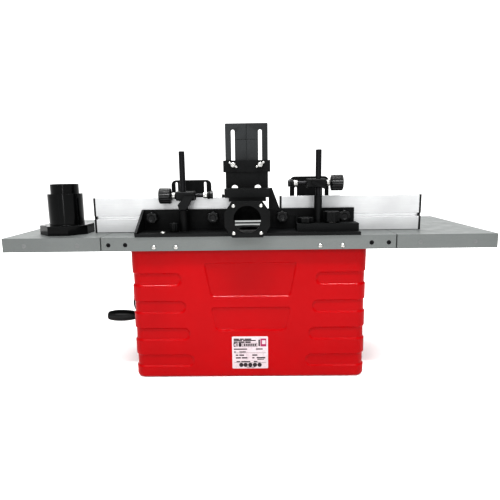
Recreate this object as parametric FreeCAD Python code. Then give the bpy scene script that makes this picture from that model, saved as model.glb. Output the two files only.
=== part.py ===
import FreeCAD, Part
import math
import os

# Bench router table. The operator stands on the -Y side, the dust port faces +Y, and the crank is on +X.
# Origin: centre of the cabinet's foot face. Lengths are in millimetres.

V = FreeCAD.Vector
X_AXIS = V(1, 0, 0)
Y_AXIS = V(0, 1, 0)
Z_AXIS = V(0, 0, 1)

# Table and extensions
TABLE_TOP = 311.0          # working height
SKIRT_HEIGHT = 29.0
SKIRT_T = 6.0
PLATE_T = 8.0
TABLE_HALF_X = 302.0
TABLE_HALF_Y = 180.0
SEAM = 1.0                 # gap between the table and an extension
EXTENSION_END = 507.0
TABLE_UNDER = TABLE_TOP - PLATE_T
SKIRT_BOTTOM = TABLE_TOP - SKIRT_HEIGHT

# Sheet steel cabinet
CABINET_HALF_X = 248.5
CABINET_HALF_Y = 170.0
CABINET_WALL = 2.0
CORNER_R = 22.0
FOOT_R = 8.0
FOOT_OPENING = (190.0, 115.0)
BENCH_HOLES = (206.0, 130.0)
BENCH_HOLE_R = 4.5
EMBOSS_DEPTH = 2.5
BEAD_HEIGHT = 29.0
BEAD_PITCH = 60.0
BEAD_COUNT = 4
BEAD_LOW_Z = 39.0
BEAD_LOW_END_X = 119.0     # inner end of the lowest bead
BEAD_END_STEP = 6.8        # each bead up ends this much further out
BEAD_SIDE_END_Y = 60.0
PANEL_X = -4.0
PANELS = ((84.5, 98.5, 179.5, 255.0), (75.5, 86.5, 105.0, 158.5))   # half widths and heights, low to high
GLAND_Z = 45.0

# Fasteners through the skirts
SCREW_X = (148.0, 193.5)
SCREW_Z = TABLE_TOP - 21.5
JOIN_X = (251.7, 286.5, 350.5, 461.0)
JOIN_Z = TABLE_TOP - 16.0

# Cutter axis and table opening
BIT_Y = 50.0
OPENING_R = 57.0
RING_R = 62.0
RING_HOLE_R = 22.5
RING_SCREW_R = 51.0
MITRE_Y = -61.0
MITRE_WIDTH = 19.2
MITRE_DEPTH = 9.5

# Controls on the operator's side
PANEL_FACE = -180.0
STOP_Z = 200.0
START_Z = 170.0
BUTTON_X = -42.0
RESET = (-42.0, 144.0)
DIAL = (28.0, 182.0)

# Lift
FIT = 0.05                 # radial clearance of a turning or sliding shaft
SHAFT_R = 5.95
BORE_R = SHAFT_R + FIT
COLUMN_X = 80.0
SCREW_AXIS = (110.0, 0.0)
CRANK_Z = 127.0
CRANK_RADIUS = 40.0
GRIP_Z = CRANK_Z - CRANK_RADIUS
GEAR_TEETH = 12
GEAR_PITCH_R = 12.0

# Motor
MOTOR_R = 46.0
COLLET_BORE_R = 4.0

# Fence
FENCE_X = (-229.0, 231.0)
FENCE_REAR = 182.0
WALL_Y = (104.6, 110.6)
FENCE_GAP = 0.3            # between the fence casting and the table
FLANGE_TOP = 317.5
WALL_TOP = 361.0
PLATE_KNOB_X = (208.0, 76.0, -73.0, -206.0)
PLATE_SLOT_Z = 344.0
FENCE_PLATE_Y = (92.3, 104.3)
FENCE_PLATE_Z = (311.6, 387.0)
PORT_Z = 347.5
PORT_R = 27.0
PORT_FLANGE_Y = (201.0, 207.0)
PORT_SCREW_OFFSET = 27.0
PLATFORM_TOP = 333.0
CLAMP_POINTS = ((155.0, 150.0), (-175.0, 143.0))
LOCK_POINT = (-121.5, 142.0)
FENCE_TRAVEL = 60.0

# Hold-downs, right side first
ROD_Y = 135.0
ROD_R = 6.0
ROD_X = (136.0, -148.0)
COMB_AXIS_Y = 121.0
COMB_AXIS_Z = (391.5, 415.0)
COMB_X = ((84.0, 174.0), (-182.0, -94.5))
COMB_TOP = (423.0, 428.0)
COMB_HEIGHT = 75.0
COMB_Y = (53.0, 58.0)
COMB_CHEEK_X = ((81.0, 149.8), (-167.1, -97.1))
CHEEK_T = 5.0
CLAMP_BLOCK_X = ((112.0, 149.3), (-161.6, -124.6))

# Guard
GUARD_X = 2.0
GUARD_HALF_X = 46.0
GUARD_BOLT_X = 29.4
GUARD_BOLT_Z = 455.0

# Loose hose adapter
ADAPTER = (403.0, 95.0)


def box(x0, x1, y0, y1, z0, z1):
    return Part.makeBox(x1 - x0, y1 - y0, z1 - z0, V(x0, y0, z0))


def mirrored_box(sign_x, x0, x1, sign_y, y0, y1, z0, z1):
    """Box given by its distances from the middle planes, on the chosen sides."""
    ax, bx = sorted((sign_x * x0, sign_x * x1))
    ay, by = sorted((sign_y * y0, sign_y * y1))
    return box(ax, bx, ay, by, z0, z1)


def rod(x, y, z, axis, radius, length):
    return Part.makeCylinder(radius, length, V(x, y, z), axis)


def fuse(shapes):
    result = shapes[0].multiFuse(shapes[1:]) if len(shapes) > 1 else shapes[0]
    return result.removeSplitter()


def cut(shape, tools):
    return shape.cut(Part.makeCompound(tools)) if tools else shape


def polygon(points):
    return Part.Face(Part.makePolygon(points + [points[0]]))


def prism_xz(points, y0, y1):
    return polygon([V(x, y0, z) for x, z in points]).extrude(V(0, y1 - y0, 0))


def prism_yz(points, x0, x1):
    return polygon([V(x0, y, z) for y, z in points]).extrude(V(x1 - x0, 0, 0))


def prism_xy(points, z0, z1):
    return polygon([V(x, y, z0) for x, y in points]).extrude(V(0, 0, z1 - z0))


def slot_z(x0, y0, x1, y1, radius, z0, z1):
    """Bar with round ends between two points, standing from z0 to z1."""
    ends = [rod(x, y, z0, Z_AXIS, radius, z1 - z0) for x, y in ((x0, y0), (x1, y1))]
    length = math.hypot(x1 - x0, y1 - y0)
    nx = -(y1 - y0) / length * radius
    ny = (x1 - x0) / length * radius
    corners = [(x0 + nx, y0 + ny), (x1 + nx, y1 + ny), (x1 - nx, y1 - ny), (x0 - nx, y0 - ny)]
    return fuse([prism_xy(corners, z0, z1)] + ends)


def edges_along(shape, axis, test):
    """Straight edges parallel to an axis whose centre passes the test."""
    found = []
    for edge in shape.Edges:
        if not isinstance(edge.Curve, (Part.Line, Part.LineSegment)):
            continue
        ends = edge.Vertexes
        direction = (ends[-1].Point - ends[0].Point).normalize()
        if abs(direction.dot(axis)) > 0.999 and test(edge.CenterOfMass):
            found.append(edge)
    return found


def upright_box(half_x, half_y, z0, z1, radius):
    """Box about the Z axis with its upright edges rounded."""
    shape = box(-half_x, half_x, -half_y, half_y, z0, z1)
    return shape.makeFillet(radius, edges_along(shape, Z_AXIS, lambda c: True))


def octagon(half_w, half_h, chamfer_w, chamfer_h, cx, cy):
    w, h = half_w, half_h
    a, b = half_w - chamfer_w, half_h - chamfer_h
    corners = [(-a, -h), (a, -h), (w, -b), (w, b), (a, h), (-a, h), (-w, b), (-w, -b)]
    return [(cx + x, cy + y) for x, y in corners]


def hexagon(flats, cx, cy):
    radius = flats / math.sqrt(3.0)
    steps = [math.radians(60.0 * k + 30.0) for k in range(6)]
    return [(cx + radius * math.cos(a), cy + radius * math.sin(a)) for a in steps]


def fluted_knob(radius, height, flutes, flute_r):
    """Knob standing on Z = 0 with scallops round its rim and softened end edges."""
    knob = rod(0, 0, 0, Z_AXIS, radius, height)
    knob = knob.makeChamfer(1.2, [e for e in knob.Edges if isinstance(e.Curve, Part.Circle)])
    tools = []
    for k in range(flutes):
        angle = 2.0 * math.pi * k / flutes
        reach = radius + flute_r * 0.55
        tools.append(rod(reach * math.cos(angle), reach * math.sin(angle), -1, Z_AXIS, flute_r, height + 2))
    return cut(knob, tools)


def aim(shape, direction, position):
    """Turn a shape made along +Z to a direction and move its foot to a position."""
    placed = shape.copy()
    placed.Placement = FreeCAD.Placement(V(*position), FreeCAD.Rotation(Z_AXIS, direction))
    return placed


# ---------------------------------------------------------------- cabinet

def emboss_band(depth0, depth1):
    """Layer of the cabinet wall between two depths below its outer face."""
    hx, hy = CABINET_HALF_X, CABINET_HALF_Y
    outer = upright_box(hx - depth0, hy - depth0, 0, TABLE_TOP, CORNER_R - depth0)
    inner = upright_box(hx - depth1, hy - depth1, -1, TABLE_TOP + 1, CORNER_R - depth1)
    return outer.cut(inner)


def bead_mask(row, side_x, side_y, grow):
    """Outline of one horizontal bead that wraps a corner, seen from the back and from the side."""
    z = BEAD_LOW_Z + BEAD_PITCH * row
    half = BEAD_HEIGHT / 2.0 + grow
    end_x = BEAD_LOW_END_X + BEAD_END_STEP * row + BEAD_HEIGHT / 2.0
    end_y = BEAD_SIDE_END_Y + BEAD_HEIGHT / 2.0
    far = 300.0
    from_back = fuse([
        mirrored_box(side_x, end_x, far, 1, -far, far, z - half, z + half),
        rod(side_x * end_x, -far, z, Y_AXIS, half, 2 * far),
    ])
    from_side = fuse([
        mirrored_box(1, -far, far, side_y, end_y, far, z - half, z + half),
        rod(-far, side_y * end_y, z, X_AXIS, half, 2 * far),
    ])
    return from_back.common(from_side)


def panel_mask(half_low, half_high, z0, z1, grow):
    """Trapezoid panel on the dust port side."""
    low, high = half_low + grow, half_high + grow
    points = [(PANEL_X - low, z0 - grow), (PANEL_X + low, z0 - grow),
              (PANEL_X + high, z1 + grow), (PANEL_X - high, z1 + grow)]
    shape = prism_xz(points, 120.0, 200.0)
    return shape.makeFillet(9.0, edges_along(shape, Y_AXIS, lambda c: True))


def emboss_masks(grow):
    corners = [(sx, sy) for sx in (1, -1) for sy in (1, -1)]
    masks = [bead_mask(row, sx, sy, grow) for row in range(BEAD_COUNT) for sx, sy in corners]
    masks += [panel_mask(*panel, grow) for panel in PANELS]
    return Part.makeCompound(masks)


def foot_edges(shape):
    level = [e for e in shape.Edges if e.BoundBox.ZMax - e.BoundBox.ZMin < 0.01]
    return [e for e in level if e.BoundBox.ZMax < 4.0]


def housing_shell():
    outer = upright_box(CABINET_HALF_X, CABINET_HALF_Y, 0, TABLE_UNDER, CORNER_R)
    outer = outer.makeFillet(FOOT_R, foot_edges(outer))
    t = CABINET_WALL
    inner = upright_box(CABINET_HALF_X - t, CABINET_HALF_Y - t, t, TABLE_TOP, CORNER_R - t)
    inner = inner.makeFillet(FOOT_R - t, foot_edges(inner))
    backing = emboss_band(0.5, EMBOSS_DEPTH + CABINET_WALL).common(emboss_masks(CABINET_WALL))
    shell = outer.cut(inner).fuse(backing.common(outer))
    shell = shell.cut(emboss_band(-1.0, EMBOSS_DEPTH).common(emboss_masks(0.0)))
    ox, oy = FOOT_OPENING
    tools = [upright_box(ox, oy, -1, t + 1, 25.0)]
    bx, by = BENCH_HOLES
    tools += [rod(sx * bx, sy * by, -1, Z_AXIS, BENCH_HOLE_R, t + 2) for sx in (1, -1) for sy in (1, -1)]
    tools += [rod(sx * x, -200, SCREW_Z, Y_AXIS, 2.6, 400) for sx in (1, -1) for x in SCREW_X]
    wall = CABINET_HALF_X
    tools.append(rod(wall - 10, 0, CRANK_Z, X_AXIS, 13.0, 20))
    tools.append(rod(-wall - 5, 0, GLAND_Z, X_AXIS, 8.0, 20))
    tools.append(box(-300, 300, MITRE_Y - 17, MITRE_Y + 17, 294, TABLE_TOP))
    tools.append(box(-60, 60, -200, -150, 140, 220))
    for k in range(8):
        z = 96.0 + 16.0 * k
        ends = [rod(-wall - 5, y, z + 3, X_AXIS, 3, 20) for y in (-36, 36)]
        tools.append(fuse([box(-wall - 5, -wall + 15, -36, 36, z, z + 6)] + ends))
    return cut(shell, tools)


def rating_label():
    return box(-40, 37.5, CABINET_HALF_Y, CABINET_HALF_Y + 0.6, 20, 93)


# ---------------------------------------------------------------- table

def skirt_holes(xs, z, radius, side_x):
    return [rod(side_x * x, -200, z, Y_AXIS, radius, 400) for x in xs]


def main_table():
    hx, hy = TABLE_HALF_X, TABLE_HALF_Y
    block = box(-hx, hx, -hy, hy, SKIRT_BOTTOM, TABLE_TOP)
    block = block.makeFillet(2.0, edges_along(block, Z_AXIS, lambda c: True))
    hollow = box(-hx + SKIRT_T, hx - SKIRT_T, -hy + SKIRT_T, hy - SKIRT_T, SKIRT_BOTTOM - 1, TABLE_UNDER)
    ribs = [box(-hx + 1, hx - 1, MITRE_Y - 16, MITRE_Y + 16, 296, TABLE_UNDER + 1)]
    ribs += [box(-235, 235, y - 2, y + 2, 294, TABLE_UNDER + 1) for y in (-135, -20)]
    ribs += [box(x - 2, x + 2, -158, -18, 294, TABLE_UNDER + 1) for x in (-120, 120)]
    ribs += [rod(sx * COLUMN_X, BIT_Y, 290, Z_AXIS, 14, 14) for sx in (1, -1)]
    ribs.append(rod(SCREW_AXIS[0], SCREW_AXIS[1], 291, Z_AXIS, 14, 13))
    table = fuse([block.cut(hollow)] + ribs)
    tools = [rod(0, BIT_Y, 280, Z_AXIS, OPENING_R, 40), rod(0, BIT_Y, TABLE_TOP - 3.5, Z_AXIS, RING_R, 10)]
    half = MITRE_WIDTH / 2.0
    tools.append(box(-400, 400, MITRE_Y - half, MITRE_Y + half, TABLE_TOP - MITRE_DEPTH, TABLE_TOP + 1))
    tools += [slot_z(x, y - FENCE_TRAVEL - 1, x, y + 1, 4.3, 290, 320) for x, y in CLAMP_POINTS]
    for side_x in (1, -1):
        tools += skirt_holes(JOIN_X[:2], JOIN_Z, 4.5, side_x)
        tools += skirt_holes(SCREW_X, SCREW_Z, 2.6, side_x)
        tools.append(rod(side_x * COLUMN_X, BIT_Y, 280, Z_AXIS, 6.0, 21))
        for side_y in (1, -1):
            tools.append(mirrored_box(side_x, 294, 304, side_y, 167.5, 174.5, 285.5, 303))
    tools.append(rod(SCREW_AXIS[0], SCREW_AXIS[1], 280, Z_AXIS, BORE_R, 21))
    return cut(table, tools)


def extension(side_x):
    x0, x1 = sorted((side_x * (TABLE_HALF_X + SEAM), side_x * EXTENSION_END))
    hy = TABLE_HALF_Y
    block = box(x0, x1, -hy, hy, SKIRT_BOTTOM, TABLE_TOP)
    block = block.makeFillet(2.0, edges_along(block, Z_AXIS, lambda c: True))
    hollow = box(x0 + SKIRT_T, x1 - SKIRT_T, -hy + SKIRT_T, hy - SKIRT_T, SKIRT_BOTTOM - 1, TABLE_UNDER)
    middle = (x0 + x1) / 2.0
    ribs = [box(middle - 2, middle + 2, -150, 150, 295, TABLE_UNDER + 1)]
    ribs += [box(x0 + 1, x1 - 1, y - 2, y + 2, 295, TABLE_UNDER + 1) for y in (-60, 60)]
    table = fuse([block.cut(hollow)] + ribs)
    tools = skirt_holes(JOIN_X[2:], JOIN_Z, 4.5, side_x)
    for side_y in (1, -1):
        tools.append(mirrored_box(side_x, 300, 312, side_y, 167.5, 174.5, 285.5, 303))
    return cut(table, tools)


def joining_bars():
    bars = []
    for sx in (1, -1):
        for sy in (1, -1):
            bar = mirrored_box(sx, 245.0, 475.0, sy, 168.0, 174.0, 286, 302.5)
            bars.append(cut(bar, [rod(sx * x, -200, JOIN_Z, Y_AXIS, 3.1, 400) for x in JOIN_X]))
    return Part.makeCompound(bars)


def joining_bolts():
    pieces = []
    for sx in (1, -1):
        for sy in (1, -1):
            out = V(0, -sy, 0)
            for x in JOIN_X:
                head = rod(sx * x, sy * 179.0, JOIN_Z, out, 4.2, 5.0)
                head = head.cut(rod(sx * x, sy * 179.0, JOIN_Z, out, 2.2, 2.5))
                shank = rod(sx * x, sy * 174.5, JOIN_Z, out, 3.0, 13.5)
                pieces.append(head.fuse(shank).removeSplitter())
                y0, y1 = sorted((sy * 163.0, sy * 167.9))
                nut = prism_xz(hexagon(10.0, sx * x, JOIN_Z), y0, y1)
                pieces.append(nut.cut(rod(sx * x, y0 - 1, JOIN_Z, Y_AXIS, 3.0, 10)))
    return Part.makeCompound(pieces)


def skirt_screws():
    screws = []
    for sx in (1, -1):
        for sy in (1, -1):
            for x in SCREW_X:
                ball = Part.makeSphere(5.4, V(sx * x, sy * 177.2, SCREW_Z))
                face = mirrored_box(sx, x - 8, x + 8, sy, TABLE_HALF_Y, 190, SCREW_Z - 8, SCREW_Z + 8)
                head = ball.common(face)
                cross = [mirrored_box(sx, x - w, x + w, sy, 181.4, 184, SCREW_Z - h, SCREW_Z + h)
                         for w, h in ((2.2, 0.5), (0.5, 2.2))]
                shank = rod(sx * x, sy * TABLE_HALF_Y, SCREW_Z, V(0, -sy, 0), 2.5, 22)
                screws.append(cut(head.fuse(shank).removeSplitter(), cross))
    return Part.makeCompound(screws)


def insert_ring():
    ring = fuse([rod(0, BIT_Y, TABLE_TOP - 3.5, Z_AXIS, RING_R - 0.2, 3.5),
                 rod(0, BIT_Y, TABLE_TOP - 8, Z_AXIS, OPENING_R - 0.2, 5)])
    holes = [rod(0, BIT_Y, 290, Z_AXIS, RING_HOLE_R, 40)]
    reach = RING_SCREW_R
    holes += [rod(reach * math.cos(a), BIT_Y + reach * math.sin(a), TABLE_TOP - 1.5, Z_AXIS, 2.6, 5)
              for a in (math.radians(90 + 120 * k) for k in range(3))]
    return cut(ring, holes)


# ---------------------------------------------------------------- controls

def switch_box():
    body = box(-70, 70, PANEL_FACE, -CABINET_HALF_Y, 128, 232)
    body = body.makeFillet(8.0, edges_along(body, Y_AXIS, lambda c: True))
    hollow = box(-66, 66, PANEL_FACE + 3, -CABINET_HALF_Y + 1, 132, 228)
    tools = [hollow]
    for z in (STOP_Z, START_Z):
        tools.append(box(BUTTON_X - 10.3, BUTTON_X + 10.3, -190, -170, z - 10.3, z + 10.3))
    tools.append(rod(RESET[0], -190, RESET[1], Y_AXIS, 5.3, 20))
    tools.append(rod(DIAL[0], -190, DIAL[1], Y_AXIS, 3.3, 20))
    return cut(body, tools)


def press_button(z):
    """Square push button with a shoulder behind the panel."""
    cap = box(BUTTON_X - 10, BUTTON_X + 10, PANEL_FACE - 4, PANEL_FACE + 3, z - 10, z + 10)
    cap = cap.makeFillet(1.5, edges_along(cap, Y_AXIS, lambda c: True))
    shoulder = box(BUTTON_X - 12, BUTTON_X + 12, PANEL_FACE + 3, PANEL_FACE + 6, z - 12, z + 12)
    return fuse([cap, shoulder])


def reset_button():
    return fuse([rod(RESET[0], PANEL_FACE - 4, RESET[1], Y_AXIS, 5.0, 7),
                 rod(RESET[0], PANEL_FACE + 3, RESET[1], Y_AXIS, 7.0, 3)])


def speed_dial():
    knob = aim(fluted_knob(18.0, 11.0, 16, 2.2), V(0, -1, 0), (DIAL[0], PANEL_FACE - 0.6, DIAL[1]))
    x, z = DIAL
    mark = box(x - 0.8, x + 0.8, PANEL_FACE - 12, PANEL_FACE - 10.8, z + 4, z + 14)
    spindle = rod(DIAL[0], PANEL_FACE - 2, DIAL[1], Y_AXIS, 3.25, 12)
    return fuse([knob.cut(mark), spindle])


def cable_gland():
    wall = -CABINET_HALF_X
    nut = prism_yz(hexagon(20.0, 0, GLAND_Z), wall - 9.5, wall)
    dome = Part.makeCone(9.0, 6.5, 14, V(wall - 9.5, 0, GLAND_Z), V(-1, 0, 0))
    stem = rod(wall - 9.5, 0, GLAND_Z, X_AXIS, 7.9, 19)
    back_nut = prism_yz(hexagon(20.0, 0, GLAND_Z), wall + CABINET_WALL, wall + 7.5)
    return cut(fuse([nut, dome, stem, back_nut]), [rod(wall - 30, 0, GLAND_Z, X_AXIS, 4.0, 60)])


# ---------------------------------------------------------------- lift

def guide_columns():
    return Part.makeCompound([rod(sx * COLUMN_X, BIT_Y, 160, Z_AXIS, 6.0, 141) for sx in (1, -1)])


def lift_bracket():
    sx, sy = SCREW_AXIS
    z0, z1 = 160.0, 170.0
    parts = [rod(0, BIT_Y, z0, Z_AXIS, 62, 10),
             slot_z(-COLUMN_X, BIT_Y, COLUMN_X, BIT_Y, 13, z0, z1),
             slot_z(40, BIT_Y - 28, sx, sy, 14, z0, z1),
             slot_z(sx, sy, sx + 32, sy, 10, z0, z1),
             box(sx + 24, sx + 34, -10, 10, CRANK_Z - 14, z0)]
    tools = [rod(0, BIT_Y, 150, Z_AXIS, MOTOR_R + 4, 30),
             rod(sx, sy, 150, Z_AXIS, BORE_R, 30),
             rod(sx, 0, CRANK_Z, X_AXIS, BORE_R, 60)]
    tools += [rod(side * COLUMN_X, BIT_Y, 150, Z_AXIS, 6.0, 30) for side in (1, -1)]
    return cut(fuse(parts), tools)


def bevel_gear(bore_r, hub_length):
    """Straight bevel gear about +Z with its pitch cone's tip at the origin, before it is placed."""
    cone = GEAR_PITCH_R * math.sqrt(2.0)
    inner = cone - 7.0
    module = 2.0 * GEAR_PITCH_R / GEAR_TEETH
    root = math.pi / 4 - math.atan(1.2 * module / cone)
    tip = math.pi / 4 + math.atan(0.75 * module / cone)

    def on_cone(reach, slope, turn):
        radius = reach * math.sin(slope)
        return V(radius * math.cos(turn), radius * math.sin(turn), reach * math.cos(slope))

    blank = Part.makeCone(inner * math.sin(root), cone * math.sin(root),
                          (cone - inner) * math.cos(root), V(0, 0, inner * math.cos(root)), Z_AXIS)
    pitch = 2.0 * math.pi / GEAR_TEETH
    teeth = []
    for k in range(GEAR_TEETH):
        middle = k * pitch
        rings = []
        for reach in (inner, cone):
            sides = ((root - 0.05, -0.25), (root - 0.05, 0.25), (tip, 0.1), (tip, -0.1))
            quad = [on_cone(reach, slope, middle + share * pitch) for slope, share in sides]
            rings.append(Part.makePolygon(quad + [quad[0]]))
        teeth.append(Part.makeLoft(rings, True, True))
    back = cone * math.cos(root)
    hub = rod(0, 0, back, Z_AXIS, 9.0, hub_length)
    gear = fuse([blank, hub] + teeth)
    return cut(gear, [rod(0, 0, 0, Z_AXIS, bore_r, 60)])


def driven_bevel_gear():
    gear = bevel_gear(SHAFT_R, 4.0)
    gear.translate(V(SCREW_AXIS[0], SCREW_AXIS[1], CRANK_Z))
    return gear


def driving_bevel_gear():
    gear = bevel_gear(SHAFT_R, 4.0)
    gear.rotate(V(0, 0, 0), Z_AXIS, 180.0 / GEAR_TEETH)
    gear.rotate(V(0, 0, 0), Y_AXIS, 90.0)
    gear.translate(V(SCREW_AXIS[0], SCREW_AXIS[1], CRANK_Z))
    return gear


def lead_screw():
    x, y = SCREW_AXIS
    screw = rod(x, y, CRANK_Z + 8, Z_AXIS, SHAFT_R, 300.5 - CRANK_Z - 8)
    grooves = []
    for k in range(24):
        z = 176.0 + 4.0 * k
        ring = rod(x, y, z, Z_AXIS, 8.0, 1.2).cut(rod(x, y, z, Z_AXIS, SHAFT_R - 0.7, 1.2))
        grooves.append(ring)
    return cut(screw, grooves)


def crank_bush():
    wall = CABINET_HALF_X
    parts = [rod(wall - 7, 0, CRANK_Z, X_AXIS, 12.9, 8), rod(wall, 0, CRANK_Z, X_AXIS, 19.0, 4)]
    return cut(fuse(parts), [rod(wall - 10, 0, CRANK_Z, X_AXIS, BORE_R, 30)])


def crank_shaft():
    return rod(SCREW_AXIS[0] + 8, 0, CRANK_Z, X_AXIS, SHAFT_R, 286 - SCREW_AXIS[0] - 8)


def crank_arm():
    disc = rod(277, 0, CRANK_Z, X_AXIS, 24.0, 9)
    dome = Part.makeSphere(70.0, V(220.6, 0, CRANK_Z)).common(rod(285.5, 0, CRANK_Z, X_AXIS, 22.0, 8))
    web = box(278, 286, -11, 11, GRIP_Z, CRANK_Z)
    end = rod(278, 0, GRIP_Z, X_AXIS, 11.0, 9)
    pin = rod(286, 0, GRIP_Z, X_AXIS, 4.95, 64)
    arm = fuse([disc, dome, web, end, pin])
    return cut(arm, [rod(270, 0, CRANK_Z, X_AXIS, SHAFT_R, 16)])


def crank_grip():
    z = GRIP_Z
    start, end = 288.0, 358.7
    curve = Part.BSplineCurve()
    curve.interpolate([V(start, 0, z + 9.5), V(302, 0, z + 12.6), V(322, 0, z + 14.2), V(344, 0, z + 13.2),
                       V(355.5, 0, z + 10.8)])
    round_end = Part.Arc(V(355.5, 0, z + 10.8), V(358.0, 0, z + 8.6), V(end, 0, z + 5.0)).toShape()
    lines = [Part.makeLine(V(end, 0, z + 5.0), V(end, 0, z)), Part.makeLine(V(end, 0, z), V(start, 0, z)),
             Part.makeLine(V(start, 0, z), V(start, 0, z + 9.5))]
    face = Part.Face(Part.Wire([curve.toShape(), round_end] + lines))
    body = face.revolve(V(start, 0, z), X_AXIS, 360)
    return Part.Solid(body).cut(rod(280, 0, z, X_AXIS, 5.0, 71.0))


# ---------------------------------------------------------------- motor

def motor_carriage():
    sx, sy = SCREW_AXIS
    z0, z1 = 190.0, 208.0
    parts = [rod(0, BIT_Y, z0, Z_AXIS, 56, z1 - z0),
             slot_z(-COLUMN_X, BIT_Y, COLUMN_X, BIT_Y, 12, z0, z1),
             slot_z(40, BIT_Y - 28, sx, sy, 14, z0, z1)]
    parts += [rod(side * COLUMN_X, BIT_Y, 182, Z_AXIS, 13, 44) for side in (1, -1)]
    tools = [rod(0, BIT_Y, 180, Z_AXIS, MOTOR_R, 60), rod(sx, sy, 180, Z_AXIS, 9.0, 60)]
    tools += [rod(side * COLUMN_X, BIT_Y, 170, Z_AXIS, 6.05, 80) for side in (1, -1)]
    return cut(fuse(parts), tools)


def lift_nut():
    x, y = SCREW_AXIS
    nut = fuse([rod(x, y, 186, Z_AXIS, 13, 4), rod(x, y, 190, Z_AXIS, 9.0, 22)])
    return cut(nut, [rod(x, y, 180, Z_AXIS, BORE_R, 60)])


def motor_housing():
    profile = [(11, 82), (40, 82), (46, 88), (46, 212), (32, 228), (32, 244), (16, 244), (16, 231), (28, 231),
               (28, 226), (42, 209), (42, 90), (38, 86), (20, 86), (20, 93), (11, 93)]
    face = polygon([V(r, BIT_Y, z) for r, z in profile])
    body = Part.Solid(face.revolve(V(0, BIT_Y, 0), Z_AXIS, 360))
    tools = [rod(-60, BIT_Y, 106, X_AXIS, 7.0, 120)]
    for k in range(10):
        angle = math.radians(36.0 * k)
        tools.append(rod(30 * math.cos(angle), BIT_Y + 30 * math.sin(angle), 80, Z_AXIS, 4.0, 8))
    for k in range(12):
        slot = box(36, 60, -2, 2, 122, 150)
        slot.rotate(V(0, 0, 0), Z_AXIS, 30.0 * k + 15.0)
        slot.translate(V(0, BIT_Y, 0))
        tools.append(slot)
    return cut(body, tools)


def brush_caps():
    caps = []
    for side in (1, -1):
        cap = rod(side * 36, BIT_Y, 106, V(side, 0, 0), 7.0, 13)
        x0, x1 = sorted((side * 48.0, side * 50.0))
        caps.append(cap.cut(box(x0, x1, BIT_Y - 5, BIT_Y + 5, 105.2, 106.8)))
    return Part.makeCompound(caps)


def stator_core():
    core = rod(0, BIT_Y, 152, Z_AXIS, 42.0, 30).cut(rod(0, BIT_Y, 150, Z_AXIS, 27.0, 40))
    coils = rod(0, BIT_Y, 184.2, Z_AXIS, 38.0, 6).cut(rod(0, BIT_Y, 180, Z_AXIS, 28.0, 20))
    return Part.makeCompound([core, coils])


def motor_bearings():
    top = rod(0, BIT_Y, 231, Z_AXIS, 16, 12).cut(rod(0, BIT_Y, 230, Z_AXIS, 7.5, 20))
    bottom = rod(0, BIT_Y, 84, Z_AXIS, 11, 9).cut(rod(0, BIT_Y, 80, Z_AXIS, 5.0, 20))
    return Part.makeCompound([top, bottom])


def rotor_shaft():
    steps = ((84.5, 9.0, 4.95), (93.5, 150.0, 7.0), (230.0, 15.0, 7.45), (244.5, 25.5, 11.0),
             (98.0, 14.0, 14.0), (152.0, 30.0, 26.0))
    parts = [rod(0, BIT_Y, z, Z_AXIS, radius, length) for z, length, radius in steps]
    return cut(fuse(parts), [rod(0, BIT_Y, 255, Z_AXIS, 7.0, 30)])


def cooling_fan():
    parts = [rod(0, BIT_Y, 194, Z_AXIS, 10.0, 10), rod(0, BIT_Y, 194, Z_AXIS, 38.0, 1.6)]
    for k in range(12):
        blade = box(9, 37, -0.8, 0.8, 195, 203)
        blade.rotate(V(0, 0, 0), Z_AXIS, 30.0 * k)
        blade.translate(V(0, BIT_Y, 0))
        parts.append(blade)
    return cut(fuse(parts), [rod(0, BIT_Y, 180, Z_AXIS, 7.0, 40)])


def collet():
    return rod(0, BIT_Y, 257, Z_AXIS, 6.9, 25.8).cut(rod(0, BIT_Y, 250, Z_AXIS, COLLET_BORE_R, 40))


def collet_nut():
    nut = prism_xy(hexagon(27.0, 0, BIT_Y), 260, 286)
    tools = [rod(0, BIT_Y, 259, Z_AXIS, 11.0, 11.5), rod(0, BIT_Y, 270, Z_AXIS, 7.0, 13),
             rod(0, BIT_Y, 282, Z_AXIS, 5.5, 10)]
    return cut(nut, tools)


# ---------------------------------------------------------------- fence

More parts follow.
